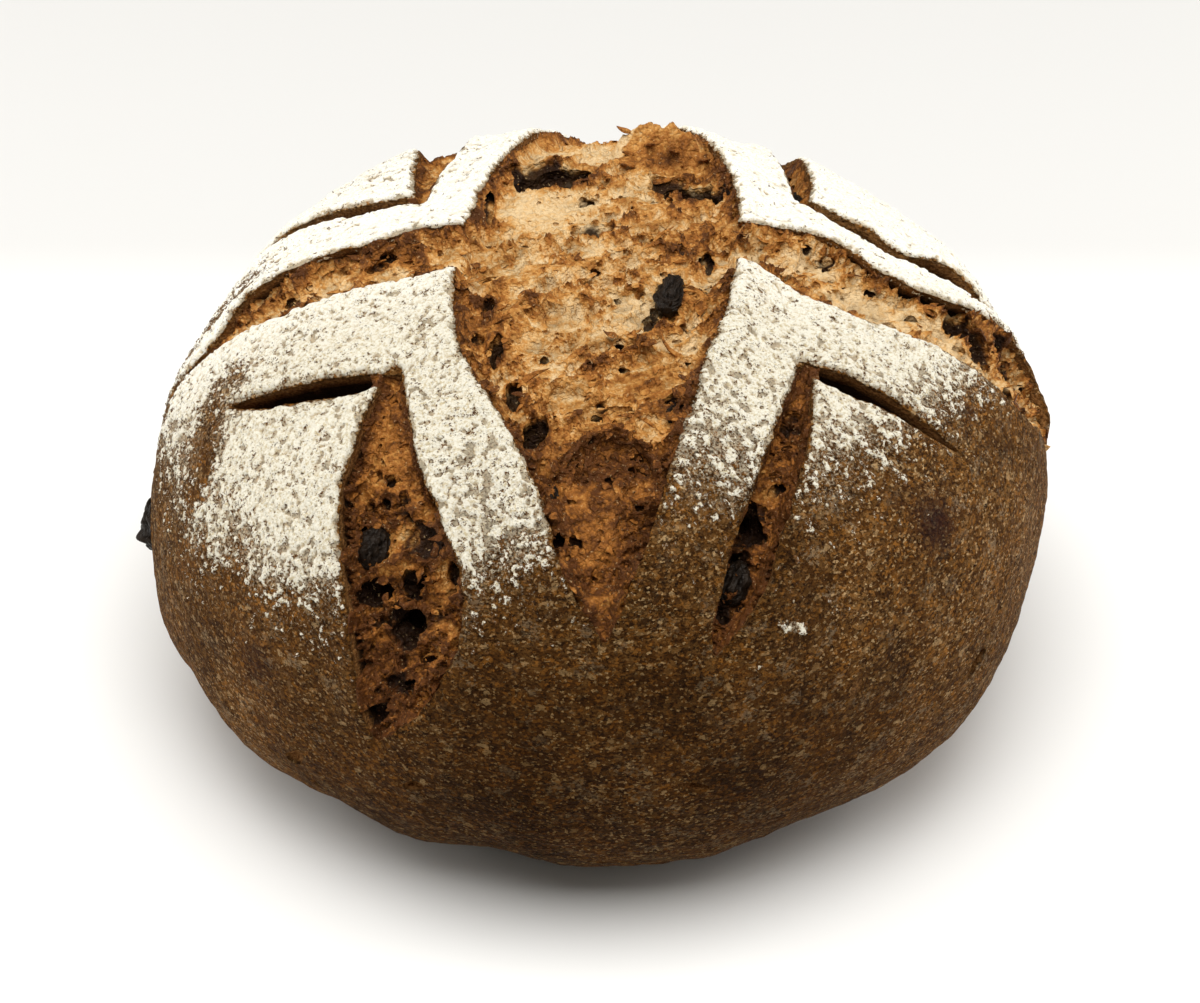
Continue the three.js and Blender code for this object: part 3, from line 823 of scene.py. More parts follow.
crumbLooks["centre"].update({
    "step": 0.47, "cell": 2.5, "aspect": 1.4, "slant": 0.6, "relief": 1.1, "tint": 0.02, "climb": 5,
    "bubbles": 200, "shreds": 900,
    "strands": [(8.5, 56.5, 172, 12, 4, 2.4, 0.9, 10, 0.65), (14, 45, -100, -4, 5.5, 7.5, 0.7, -10, 0.75),
                (9, 46, -130, 6, 5, 3, 0.6, 4, 0.7), (13, 4, 62, 8, 9, 0.8, 0.5, 14, 0.6),
                (-24, -22, -30, 14, 6, 1.2, 0.5, 20, 0.7), (20, -40, 140, 8, 10, 0.9, 0.5, 14, 0.7),
                (-18, -50, 30, 10, 9, 0.9, 0.5, 16, 0.7), (14, -62, 160, 8, 10, 1.0, 0.5, 10, 0.75),
                (4, -52, 200, 8, 8, 0.8, 0.5, 10, 0.6), (24, -18, 200, 6, 9, 0.7, 0.4, 10, 0.6),
                (-26, -30, 10, 8, 8, 0.7, 0.4, 12, 0.65), (20, -28, 120, 6, 8, 0.7, 0.4, 10, 0.7),
                (12, 53, -60, 10, 6, 1.6, 0.6, 6, 0.85), (20, 51, -110, 10, 5, 2, 0.6, 4, 0.8),
                (26, 49, -80, 12, 5, 1.6, 0.6, 6, 0.8), (10, 51, -150, 12, 5, 1.5, 0.6, 6, 0.85)],
    "holes": [(-10, 40, 9.5, 7, 6), (23, 34, 8.5, 7, 7), (-23, -38, 2, 4.6, 3.6), (-1, 12, 4.8, 3, 2.4),
              (13, -28, 2.4, 3.4, 2.2), (-12, -41, 1.8, 2.2, 2), (-14, -64, 3.2, 4.6, 5),
              (10, -84, 1.6, 1.2, 1.5), (8, -74, 0.8, 0.8, 1), (26, 0, 2.4, 4.5, 2.6),
              (-26, 20, 1.4, 9, 1.5), (-9, -92, 1.8, 3, 2.5), (-25, -22, 1.6, 5, 3),
              (-19, -52, 1.8, 4, 3.4)],
    "folds": [(3, -77, 11, 10, 2.0, 1, 0.5), (1, -92, 9, 12.5, 1.4, -1, -0.5),
              (-14, 18, 13, 15, 1.2, -1, 0.1), (6, -30, 13, 13, 1.3, 1, 0.15),
              (5, -32, 18, 20, 1.2, 1, 0.1), (4, -34, 23, 27, 1.1, 1, 0.1), (4, -44, 9, 9, 1.2, 1, 0.25),
              (-6, -60, 8, 9, 1.3, 1, 0.2), (14, -8, 9, 10, 1.3, 1, 0.3), (-19, -30, 6, 9, 1.2, 1, 0.3)],
    "toast": [(18, 47, 12, 6, 0.42), (23, 10, 8, 18, 0.1), (3, -72, 9, 6, 0.6), (-25, -16, 5, 22, 0.35),
              (14, -50, 10, 9, 0.35), (0, -88, 40, 30, 0.68), (-14, 18, 11, 13, -0.14),
              (19, -8, 6, 12, 0.15), (16, -34, 8, 12, 0.15), (1, -106, 8, 8, 0.2)],
    "smooth": [(-15, 17, 9, 12), (0, -92, 7, 9), (-6, 60, 12, 8)],
})
crumbLooks["leftArm"].update({
    "tint": 0.19, "climb": 9, "wallToast": 0.22, "bubbles": 60, "shreds": 120,
})
crumbLooks["rightArm"].update({
    "cell": 2.5, "relief": 0.95, "tint": -0.16, "climb": 9, "wallToast": 0.18,
    "bubbles": 90, "shreds": 160,
    "strands": [(130, -15, -90, 68, 5, 2.4, 0.5, 20, 0)],
    "holes": [(82, -4.5, 4.5, 2.4, 4), (89, -6.5, 5, 2.8, 5), (97, -9.5, 5, 3, 4.5), (105, -3, 4, 3, 4),
              (113, -3, 4, 4, 3.6), (111, -17, 3, 4, 2.6)],
    "toast": [(90, -6, 12, 6, 0.14), (108, -8, 14, 12, 0.26)],
})
crumbLooks["frontLeftLengthwise"].update({
    "step": 0.36, "cell": 2.4, "aspect": 1.2, "relief": 1.3, "tint": 0.59, "bubbles": 90, "shreds": 300,
    "strands": [(-54, -99, 10, 0, 9, 0.6, 0.4, 6, 0.75), (-38, -96, 120, 4, 6, 0.5, 0.35, 6, 0.7),
                (-46, -114, 10, 2, 8, 0.5, 0.35, 4, 0.7), (-58, -116, 30, 2, 8, 0.5, 0.35, 4, 0.7)],
    "holes": [(-54, -75, 1.5, 1.5, 2), (-50, -75, 1.3, 1.6, 2), (-45, -75, 1.4, 1.4, 2),
              (-48, -79, 1.8, 1.3, 2), (-44, -80, 1.6, 1.4, 2), (-41, -87, 4.4, 4, 2.4),
              (-45, -97, 3.6, 3.6, 5), (-48, -105, 5.4, 4.2, 7), (-56, -95, 3.6, 3, 5),
              (-50, -109, 3.2, 2.4, 4), (-34, -95, 1.5, 2.6, 2.6), (-53, -118, 4, 2.4, 2.4),
              (-62, -124, 3, 2.6, 3)],
    "toast": [(-50, -102, 10, 12, 0.12), (-52, -118, 10, 8, 0.25), (-47, -62, 8, 14, 0.1),
              (-44, -84, 7, 7, -0.2)],
    "smooth": [(-47, -60, 8, 11)],
})
crumbLooks["frontRightLengthwise"].update({
    "step": 0.36, "tint": 0.67, "climb": 1.4, "bubbles": 50, "shreds": 70,
    "holes": [(37.5, -84, 3, 4.8, 6), (34.5, -94, 2.4, 3, 5), (31, -107, 2.2, 2.4, 3),
              (44, -58, 1.6, 3, 2.4)],
    "toast": [(34, -100, 8, 8, 0.3)],
})
crumbLooks["backLeftLengthwise"].update({
    "tint": 0.35, "holes": [(-39, 60, 2, 2, 2.4), (-42, 84, 3, 2.4, 2.4), (-44, 103, 2, 2.4, 2.4)],
})
crumbLooks["backRightLengthwise"].update({
    "tint": 0.35, "holes": [(50, 66, 1.8, 2.4, 2.4), (47, 90, 2, 2.4, 2.4)],
})


def crestHeight(u, v):
    total = np.zeros(len(u))
    ragged = layered(u, v, crumbSet["crestRagged"], crumbSet["crestLeast"])
    for start, end, height, spread, steep in crumbSet["crests"]:
        start = np.array(start, dtype=float)
        run = np.array(end) - start
        length = np.hypot(*run)
        along = ((u - start[0]) * run[0] + (v - start[1]) * run[1]) / length
        aside = ((v - start[1]) * run[0] - (u - start[0]) * run[1]) / length
        past = np.maximum(-along, 0) * steep + np.maximum(along - length, 0)
        aside = aside * np.where(aside < 0, steep, 1)        # the front falls off more steeply
        total += height * ragged * np.exp(-(np.hypot(past, aside) / spread) ** 2)
    return total


# How far a place lies from the edge of the nearest of some cuts, negative inside
def edgeOf(names, u, v):
    edge = np.full(len(u), np.inf)
    for name in names:
        near = nearestOnCut(cutNamed[name], u, v)
        edge = np.minimum(edge, near["distance"] - near["half"])
    return edge


# A cut's crumb before it is torn: its height, its climb to the lips from 0 to 1, and its ceiling
def crumbBase(cut, u, v, near):
    look = crumbLooks[cut["name"]]
    across = near["left"] / np.maximum(near["half"], crumbSet["halfLeast"])
    across = np.clip(across, -crumbSet["acrossMost"], crumbSet["acrossMost"])
    lean = np.abs(np.sin(np.pi * near["along"])) ** cutSet["endFade"]
    floor = (cutSet["endDepth"] + (1 - cutSet["endDepth"]) * lean) * floorBow(cut, across)
    edge = near["distance"] - near["half"]
    climb = np.zeros(len(u))
    if look["climb"] > 0:
        wide = np.minimum(look["climb"], crumbSet["climbShare"] * near["half"] + crumbSet["climbMore"])
        climb = ease(edge / np.maximum(wide, crumbSet["climbLeast"]), *crumbSet["climbEdge"])
    if cut["name"] == "centre":
        climb = climb * ease(edgeOf(("leftArm", "rightArm"), u, v), *crumbSet["mouth"])
        floor = floor + crestHeight(u, v)
    if cut["name"] in ("leftArm", "rightArm"):
        fromCentre = edgeOf(("centre",), u, v)
        floor = floor - crumbSet["armSink"] * ease(-fromCentre, *crumbSet["armSinkEdge"])
        climb = climb * ease(fromCentre, *crumbSet["armClimb"])
    gap, lip = cutField(u, v)
    height = floor * (1 - climb) + (lip - crumbSet["crustEdge"]) * climb
    lump = lumpHeight(u, v)
    ceiling = lump + lip - crumbSet["roofUnder"] + crumbSet["roofRise"] * ease(-gap, *crumbSet["roofEdge"])
    ceiling = ceiling - crumbSet["tuckDrop"] * ease(gap, *crumbSet["tuckEdge"])
    return lump + height, climb, ceiling


# Torn gas cells: growth is the range of their sizes, bend and power their form, backDeeper their lean to
# the back, sway how ragged they are and rim how wide the crumb between two of them is
bowlSet = {"growth": (0.5, 1.4), "reach": 1.4, "bend": 0.35, "power": 0.7, "backDeeper": 0.5,
           "sway": 0.35, "fineSway": 0.45, "fineTimes": 3, "rim": 0.1}


# Bowls of mixed sizes that overlap: the deepest and the next are kept at each place
def bowls(u, v, box, size, aspect, cover, seed, slant):
    draw = np.random.default_rng(seed)
    order = np.argsort(v)
    times = bowlSet["fineTimes"]
    fineSway = bowlSet["fineSway"] * noise2(times * u / size, times * v / size + seed)
    sway = noise2(u / size + seed, v / size) + fineSway
    rowU = (u + bowlSet["sway"] * size * sway)[order]
    rowV = v[order]
    low, high = box
    count = int(cover * (high[0] - low[0]) * (high[1] - low[1]) * aspect / (np.pi * size ** 2))
    reach = bowlSet["reach"] + slant
    deepest = np.zeros(len(u))
    deepNext = np.zeros(len(u))
    tint = np.zeros(len(u))
    least, most = bowlSet["growth"]
    middles = draw.uniform((low[0], low[1], least, -1), (high[0], high[1], most, 1), (count, 4))
    for atU, atV, grow, shade in middles:
        halfU = size * grow
        halfV = halfU / aspect
        part = slice(*np.searchsorted(rowV, (atV - reach * halfV, atV + reach * halfV)))
        x = (rowU[part] - atU) / halfU
        y = (rowV[part] - atV) / halfV + bowlSet["bend"] * x * x - slant * x
        depth = grow * np.maximum(1 - x * x - y * y, 0) ** bowlSet["power"]
        depth = depth * (1 + bowlSet["backDeeper"] * y)
        won = depth > deepest[part]
        deepNext[part] = np.where(won, deepest[part], np.maximum(deepNext[part], depth))
        tint[part] = np.where(won, shade, tint[part])
        deepest[part] = np.maximum(deepest[part], depth)
    back = np.argsort(order)
    rim = np.exp(-(deepest - deepNext) / bowlSet["rim"])
    return {"deep": deepest[back], "rim": rim[back], "tint": tint[back]}


def cutBox(cut):
    line = cut["line"]
    tuck = crumbSet["tuck"] + max(cut["undercut"])
    return (line[:, :2] - line[:, 2:]).min(axis=0) - tuck, (line[:, :2] + line[:, 2:]).max(axis=0) + tuck


# Curved ridges of crumb: steep inside, soft outside, with a shadow under the lip
foldSet = {"wave": [(2.2, 2.2, 0, 0, 0.06)], "inside": 0.6, "outside": 1.9, "ends": (-0.1, 0.35),
           "gain": 1.5, "shadow": 0.5, "shadowWidth": (0.1, 0.7)}
# Gas holes: their raised and toasted rims, the side caves of the large ones, and the small random ones
holeSet = {
    "rim": 0.4, "rimAt": 1.1, "toast": 0.45, "toastAt": 1.08, "rimSpread": 0.16,
    "sunk": 0.25, "caves": 2, "caveFrom": 2, "caveAside": 0.75, "caveSize": 0.6, "caveDepth": 0.7,
    "bubbleLeast": 0.5, "bubbleMore": 1.5, "bubbleStretch": (0.9, 1.7), "bubbleSunk": (0.0, 0.6),
    "crestClear": (40, 66), "detail": 3, "largeDetail": 4, "largeFrom": 2.2, "rough": 0.42,
    # depths under the crumb's top over which a gas hole's inside is darkened as painted shade
    "pitShadeDepth": (0.5, 2.6),
}


# painted shade that grows with a cell's depth
def pitShadeOf(deep, dark, low, high):
    return dark * ease(deep, low, high)


# A cut's torn crumb: its height, how brown it is and how much painted shade darkens its pits
def crumbSurface(cut, u, v):
    look = crumbLooks[cut["name"]]
    near = nearestOnCut(cut, u, v)
    base, climb, ceiling = crumbBase(cut, u, v, near)
    sizes = [look["cell"] * share for share in crumbSet["sizes"]]
    draws = zip(sizes, crumbSet["covers"], crumbSet["seeds"])
    large, medium, small = [
        bowls(u, v, cutBox(cut), size, look["aspect"], cover, seed, look["slant"])
        for size, cover, seed in draws
    ]
    largeDeep, mediumDeep, smallDeep = [size * depth for size, depth in zip(sizes, crumbSet["depths"])]
    calm = np.ones(len(u))
    for atU, atV, spreadU, spreadV in look["smooth"]:
        away = ((u - atU) / spreadU) ** 2 + ((v - atV) / spreadV) ** 2
        calm = calm * (1 - crumbSet["calmest"] * np.exp(-away ** 2))
    tear = ease(layered(u, v, crumbSet["tearLayers"]), *crumbSet["tearRange"])
    tear = np.clip(tear + crumbSet["tearClimb"] * climb, 0, crumbSet["tearMost"])
    tear = tear * (1 - crumbSet["tearBackLess"] * ease(v, *crumbSet["tearBack"]))
    mediumWhole, mediumTorn = crumbSet["mediumTear"]
    smallWhole, smallTorn = crumbSet["smallTear"]
    rimLarge, rimMedium, rimSmall = crumbSet["rims"]
    height = crumbSet["cellLift"] * sizes[0] * crumbSet["depths"][0] - largeDeep * large["deep"]
    height = height - mediumDeep * medium["deep"] * (mediumWhole + mediumTorn * tear)
    height = height - smallDeep * small["deep"] * (smallWhole + smallTorn * tear)
    height = height + rimMedium * tear * medium["rim"] + rimSmall * tear * small["rim"]
    height = height + rimLarge * large["rim"]
    gain = look["relief"] * (crumbSet["calmRelief"] + (1 - crumbSet["calmRelief"]) * calm)
    gain = gain * (1 + crumbSet["climbRelief"] * climb)
    gain = gain * np.minimum(near["half"] / crumbSet["fullHalf"], 1)
    height = gain * height + layered(u, v, crumbSet["grainLayers"])
    toastLarge, toastMedium, toastSmall = crumbSet["rimToasts"]
    toast = toastLarge * large["rim"] + toastMedium * tear * medium["rim"]
    toast = toast + toastSmall * (crumbSet["rimToastLeast"] + tear) * small["rim"]
    toast = look["tint"] + calm * toast
    toast = toast + crumbSet["cellTint"] * medium["tint"] + crumbSet["cellTint"] * large["tint"]
    toast = layered(u, v, crumbSet["toastLayers"], toast)
    pit = pitShadeOf(medium["deep"], *crumbSet["mediumPitShade"]) + pitShadeOf(large["deep"], *crumbSet["largePitShade"])
    pit = calm * pit
    for atU, atV, halfU, halfV, rise, side, brown in look["folds"]:
        away = layered(u, v, foldSet["wave"], ovalReach(u, v, (atU, atV), (halfU, halfV)))
        past = (away - 1) * halfU
        width = np.where(past < 0, foldSet["inside"], foldSet["outside"])
        ridge = np.exp(-(past / width) ** 2) * ease(side * (v - atV) / halfV, *foldSet["ends"])
        height = height + foldSet["gain"] * rise * ridge
        toast = toast + brown * ridge
        pit = pit + foldSet["shadow"] * ridge * ease(-past, *foldSet["shadowWidth"])
    for atU, atV, spreadU, spreadV, amount in look["toast"]:
        toast = toast + amount * ovalSpot(u, v, (atU, atV), (spreadU, spreadV))
    for atU, atV, halfU, halfV, depth in look["holes"]:
        away = ovalReach(u, v, (atU, atV), (halfU, halfV))
        spread = holeSet["rimSpread"]
        height = height + holeSet["rim"] * np.exp(-((away - holeSet["rimAt"]) / spread) ** 2)
        toast = toast + holeSet["toast"] * np.exp(-((away - holeSet["toastAt"]) / spread) ** 2)
    toast = toast + look["wallToast"] * climb
    pit = pit + crumbSet["wallPitShade"] * look["wallToast"] * climb
    return np.minimum(base + height, ceiling), np.clip(toast, 0, 1), np.clip(pit, 0, 1)


# The gas holes under a cut's crumb: the ones that show by name, then small ones at random
def gasHoles(cut):
    look = crumbLooks[cut["name"]]
    sunk = holeSet["sunk"]
    holes = [(*hole, sunk) for hole in look["holes"]]
    draw = np.random.default_rng(len(cut["name"]))
    low, high = cutBox(cut)
    size = holeSet["caveSize"]
    for u, v, halfU, halfV, depth in look["holes"]:
        for turn in draw.uniform(0, 2 * np.pi, holeSet["caves"] if halfU > holeSet["caveFrom"] else 0):
            caveU = u + holeSet["caveAside"] * halfU * np.cos(turn)
            caveV = v + holeSet["caveAside"] * halfV * np.sin(turn)
            holes.append((caveU, caveV, size * halfU, size * halfV, holeSet["caveDepth"] * depth, sunk))
    named = len(holes)
    clearFrom, clearTo = holeSet["crestClear"]
    while len(holes) < named + look["bubbles"]:
        u, v = draw.uniform(low, high)
        half = holeSet["bubbleLeast"] + holeSet["bubbleMore"] * draw.random() ** 3
        stretch = draw.uniform(*holeSet["bubbleStretch"])
        sunk = draw.uniform(*holeSet["bubbleSunk"])
        near = nearestOnCut(cut, np.array([u]), np.array([v]))
        inside = near["distance"][0] < near["half"][0] - half
        onCrest = cut["name"] == "centre" and clearFrom < v < clearTo
        if inside and not onCrest:
            holes.append((u, v, half * stretch, half, half, sunk))
    balls = []
    places = np.array(holes).reshape(-1, 6)
    top = crumbSurface(cut, places[:, 0], places[:, 1])[0]
    coarse = seedBall(holeSet["detail"])
    smooth = seedBall(holeSet["largeDetail"])
    for (u, v, halfU, halfV, depth, sunk), height in zip(holes, top):
        seed = smooth if halfU > holeSet["largeFrom"] else coarse
        half = (halfU, halfV, depth)
        balls.append(ballAt(seed, (u, v), sunk * depth - height, half, holeSet["rough"]))
    bpy.data.objects.remove(coarse)
    bpy.data.objects.remove(smooth)
    return balls


def crumbSheet(cut):
    low, high = cutBox(cut)
    sheet = flatSheet("crumb_" + cut["name"], low, high, crumbLooks[cut["name"]]["step"])
    u, v, level = readPoints(sheet).T
    near = nearestOnCut(cut, u, v)
    tuck = crumbSet["tuck"] + max(cut["undercut"])
    keepFaces(sheet, near["distance"] < near["half"] + tuck * np.minimum(near["half"] / 2, 1))
    closeSheet(sheet)
    u, v, level = readPoints(sheet).T
    base = crumbBase(cut, u, v, nearestOnCut(cut, u, v))[0]
    height = np.where(level > -0.5, crumbSurface(cut, u, v)[0], base - crumbSet["under"])
    movePoints(sheet, mm * skinPoint(u, v, height))
    holes = gasHoles(cut)
    if holes:
        subtractAll(sheet, holes)
    u, v, height = skinPlace(readPoints(sheet) / mm)
    top, toast, pit = crumbSurface(cut, u, v)
    paint(sheet, "toast", toast)
    # painted shade in the cells, under the folds, by the walls and down in the gas holes
    paint(sheet, "pit", np.clip(pit + ease(top - height, *holeSet["pitShadeDepth"]), 0, 1))
    return sheet


def makeCrumb():
    pieces = []
    for name, members in crumbSet["groups"].items():
        sheets = [crumbSheet(cutNamed[member]) for member in members]
        selectOnly(sheets)
        if len(sheets) > 1:
            bpy.ops.object.join()
        crumb = sheets[0]
        crumb.name = name
        finishPiece(crumb, "loaf", crumbSet["smoothAngle"])
        pieces.append(crumb)
        print(name, "torn:", len(crumb.data.polygons), "faces")
    return pieces


# Shreds of torn crumb that stand up from the tears, in millimetres and degrees
shredSet = {
    "sides": 6, "rings": 7, "seed": 41, "tries": 60, "smoothAngle": 60,
    "length": (0.8, 3.4), "width": (0.2, 0.55), "thick": (0.14, 0.3), "lift": (0, 24), "curl": (-20, 24),
    "root": 0.35, "edgeClear": 0.6, "holeClear": 1.2, "toast": (0.25, 1.0),
    "back": (30, 50), "backShorter": 0.6,      # shorter on the crest at the back
    "tip": 0.25, "taper": 0.6,
    # ripple of the width and of the heading: amount, waves along the shred, shift by place
    "ripple": (0.4, 5, 7), "wander": (0.3, 3, 5),
    "tipBrowner": 0.3, "rootPaler": 0.2,
}


def shredPoints(cut, seed, values):
    across, thick, along = seed.T
    share = (along + 1) / 2                  # 0 at the root, 1 at the tip
    u, v, heading, lift, length, width, deep, curl, brown = values.T[:, :, None]
    top, toast = crumbSurface(cut, values[:, 0], values[:, 1])[:2]
    swell = shredSet["tip"] + (1 - shredSet["tip"]) * (1 - share) ** shredSet["taper"]
    bend = np.radians(lift + curl * share)
    forward = length * share * np.cos(bend) - deep * thick * swell * np.sin(bend)
    rise = length * share * np.sin(bend) + deep * thick * swell * np.cos(bend)
    ripple, rippleAlong, rippleShift = shredSet["ripple"]
    wander, wanderAlong, wanderShift = shredSet["wander"]
    sideways = width * across * swell * (1 + ripple * np.sin(rippleAlong * share + rippleShift * u))
    turn = np.radians(heading) + wander * np.sin(wanderAlong * share + wanderShift * v)
    atU = u + forward * np.cos(turn) - sideways * np.sin(turn)
    atV = v + forward * np.sin(turn) + sideways * np.cos(turn)
    height = top[:, None] - shredSet["root"] + rise
    points = skinPoint(atU.ravel(), atV.ravel(), height.ravel())
    shade = np.maximum(brown, toast[:, None]) + shredSet["tipBrowner"] * share - shredSet["rootPaler"]
    return points, np.clip(shade, 0, 1).ravel()


# The random shreds of a cut, and its strands after them
def shredValues(cut, draw):
    look = crumbLooks[cut["name"]]
    count = look["shreds"]
    places = draw.uniform(*cutBox(cut), (shredSet["tries"] * count, 2))
    near = nearestOnCut(cut, places[:, 0], places[:, 1])
    places = places[near["distance"] < near["half"] - shredSet["edgeClear"]]
    for atU, atV, halfU, halfV, depth in look["holes"]:
        away = ovalReach(places[:, 0], places[:, 1], (atU, atV), (halfU, halfV))
        places = places[away > shredSet["holeClear"]]
    toast = crumbSurface(cut, places[:, 0], places[:, 1])[1]
    places = places[toast > draw.uniform(*shredSet["toast"], len(places))][:count]
    count = len(places)
    least, more = shredSet["length"]
    length = least + more * draw.random(count) ** 3
    length = length * (1 - shredSet["backShorter"] * ease(places[:, 1], *shredSet["back"]))
    values = np.stack([
        places[:, 0], places[:, 1], draw.uniform(0, 360, count), draw.uniform(*shredSet["lift"], count),
        length, length * draw.uniform(*shredSet["width"], count), draw.uniform(*shredSet["thick"], count),
        draw.uniform(*shredSet["curl"], count), np.zeros(count),
    ], axis=1)
    if look["strands"]:
        values = np.vstack([values, look["strands"]])
    return values


def makeShreds():
    deselectAll()
    sides = shredSet["sides"]
    bpy.ops.mesh.primitive_uv_sphere_add(segments=sides, ring_count=shredSet["rings"], radius=1)
    shreds = bpy.context.object
    shreds.name = "crumb_shreds"
    seed = readPoints(shreds)
    faces = [tuple(face.vertices) for face in shreds.data.polygons]
    draw = np.random.default_rng(shredSet["seed"])
    points = []
    shades = []
    for cut in cuts:
        if crumbLooks[cut["name"]]["shreds"] > 0:
            placed, shade = shredPoints(cut, seed, shredValues(cut, draw))
            points.append(placed)
            shades.append(shade)
    points = np.vstack(points)
    total = len(points) // len(seed)
    corners = [tuple(k + copy * len(seed) for k in face) for copy in range(total) for face in faces]
    mesh = bpy.data.meshes.new("crumb_shreds")
    mesh.from_pydata((mm * points).tolist(), [], corners)
    shreds.data = mesh
    paint(shreds, "toast", np.concatenate(shades))
    paint(shreds, "pit", np.zeros(len(points)))
    finishPiece(shreds, "loaf", shredSet["smoothAngle"])
    print("shreds torn:", total)
    return shreds


# The raisins that show: place, depth of the middle, half-sizes, turn of the length in degrees, plumpness
raisinSet = {
    "raisin_left_side": ((-141, -22), 2.2, (8, 4.4, 4), 75, 1.12),
    "raisin_centre": ((17, -20), 1.4, (7.2, 3.2, 3.4), 80, 1),
    "raisin_centre_small": ((18, -58), 3.8, (3, 2.6, 2.4), 20, 1),
    "raisin_centre_edge": ((-9.6, -81), 4.6, (4.6, 2.4, 2.8), 110, 1),
    "raisin_front_left_cut": ((-54, -85), 5.6, (5.2, 4.2, 3.6), 60, 1),
    "raisin_front_right_cut": ((34, -99), 7, (5.4, 3.2, 3.2), 75, 1),
    "raisin_back_right_cut": ((51, 43), 5, (3.6, 2.4, 2.6), 95, 1),
}
# Their wrinkles, on a ball of radius 1 with its length along x
wrinkleSet = {
    "detail": 6, "smoothAngle": 60, "taper": 0.12,
    "sway": 0.8, "swaySize": 0.9, "swaySeed": 5, "swayLength": 0.06,
    # long folds: how many go round, their twist along the length, their shift and their share
    "folds": [(5, 2.2, 0, 1), (3, -3.1, 1, 0.7)], "foldDepth": 0.08,
    # creases: size along and across, seed, depth and the level that is left as it is
    "coarse": ((0.55, 0.3, 0.3), 9, 0.34, 0.35), "fine": ((0.3, 0.17, 0.17), -4, 0.2, 0.3),
    "creasePaint": 2.4,
}


def makeRaisin(node, at, depth, half, turn, plump, seed):
    deselectAll()
    bpy.ops.mesh.primitive_ico_sphere_add(subdivisions=wrinkleSet["detail"], radius=1)
    raisin = bpy.context.object
    raisin.name = node + "_skin"
    points = readPoints(raisin)
    around = np.arctan2(points[:, 2], points[:, 1])
    x = points[:, 0]
    swayAt = points + wrinkleSet["swaySeed"] * seed
    sway = wrinkleSet["sway"] * noise3(swayAt, np.full(3, wrinkleSet["swaySize"]))
    fold = np.zeros(len(points))
    for waves, twist, shift, share in wrinkleSet["folds"]:
        fold = fold + share * np.cos(waves * around + twist * x + shift)
    girth = 1 + wrinkleSet["foldDepth"] * fold
    creases = {}
    for name in ("coarse", "fine"):
        size, creaseSeed, creaseDepth, level = wrinkleSet[name]
        creases[name] = np.abs(noise3(points + creaseSeed * seed, np.array(size)))
        girth = girth + creaseDepth * (creases[name] - level)
    girth = plump * girth * (1 - wrinkleSet["taper"] * x)
    long = 1 + wrinkleSet["swayLength"] * sway
    points = points * np.stack([long, girth, girth], axis=-1) * np.array(half)
    middle, frameTurn = skinFrame(at, depth)
    spin = np.array(frameTurn @ Matrix.Rotation(math.radians(turn), 3, "Z"))
    movePoints(raisin, mm * (points @ spin.T + np.array(middle)))
    # painted shade: the creases are darkened
    paint(raisin, "crease", np.clip(wrinkleSet["creasePaint"] * creases["coarse"], 0, 1))
    finishPiece(raisin, node, wrinkleSet["smoothAngle"])
    return raisin


# Shader maths: a wire holds a socket, and an expression on wires adds Math nodes
class Wire:
    def __init__(self, tree, socket=None):
        self.tree = tree
        self.socket = socket

    def fill(self, node, sockets):
        for name, value in sockets.items():
            if isinstance(value, Wire):
                self.tree.links.new(value.socket, node.inputs[name])
            else:
                node.inputs[name].default_value = value

    def add(self, kind, settings=None, sockets=None, out=0):
        node = self.tree.nodes.new("ShaderNode" + kind)
        for name, value in (settings or {}).items():
            if name == "stops":
                fillRamp(node.color_ramp, value)
            else:
                setattr(node, name, value)
        self.fill(node, sockets or {})
        return Wire(self.tree, node.outputs[out])

    def maths(self, operation, first, second):
        return self.add("Math", {"operation": operation}, {0: first, 1: second})

    def __add__(self, other):
        return self.maths("ADD", self, other)

    __radd__ = __add__

    def __sub__(self, other):
        return self.maths("SUBTRACT", self, other)

    def __rsub__(self, other):
        return self.maths("SUBTRACT", other, self)

    def __mul__(self, other):
        return self.maths("MULTIPLY", self, other)

    __rmul__ = __mul__

    def clamp(self):
        return self.add("Clamp", None, {"Value": self})

    def step(self, low, high):
        ends = {"Value": self, "From Min": low, "From Max": high}
        return self.add("MapRange", {"interpolation_type": "SMOOTHSTEP"}, ends)

    def blend(self, first, second):
        return self.add("Mix", {"data_type": "RGBA"}, {0: self, 6: first, 7: second}, 2)

    def attribute(self, name):
        return self.add("Attribute", {"attribute_name": name}, None, 2)

    def place(self, stretch=(1, 1, 1)):
        spot = self.add("TexCoord", None, None, 3)
        return self.add("VectorMath", {"operation": "MULTIPLY"}, {0: spot, 1: stretch})

    def noise(self, place, scale, detail=2.0, roughness=0.55):
        sockets = {"Vector": place, "Scale": scale, "Detail": detail, "Roughness": roughness}
        return self.add("TexNoise", None, sockets)

    def cells(self, place, scale, out="Distance"):
        return self.add("TexVoronoi", None, {"Vector": place, "Scale": scale}, out)

    # moves a place by a noise of some size, so that cells lose their straight edges
    def warp(self, place, scale, amount):
        sway = self.add("TexNoise", None, {"Vector": place, "Scale": scale}, 1)
        sway = self.add("VectorMath", {"operation": "SUBTRACT"}, {0: sway, 1: (0.5, 0.5, 0.5)})
        amounts = (amount, amount, amount)
        return self.add("VectorMath", {"operation": "MULTIPLY_ADD"}, {0: sway, 1: amounts, 2: place})

    def bump(self, strength, distance, height):
        return self.add("Bump", None, {"Strength": strength, "Distance": distance, "Height": height})

    def surface(self, sockets):
        self.fill(self.tree.nodes["Principled BSDF"], sockets)


def fillRamp(ramp, stops):
    while len(ramp.elements) < len(stops):
        ramp.elements.new(0.5)
    for element, (position, colour) in zip(ramp.elements, stops):
        element.position = position
        element.color = colour


def newMaterial(name):
    material = bpy.data.materials.new(name)
    material.use_nodes = True
    return material, Wire(material.node_tree)


def dress(piece, material):
    piece.data.materials.clear()
    piece.data.materials.append(material)


# Colours are linear, red green blue
def rgb(red, green, blue):
    return (red, green, blue, 1)
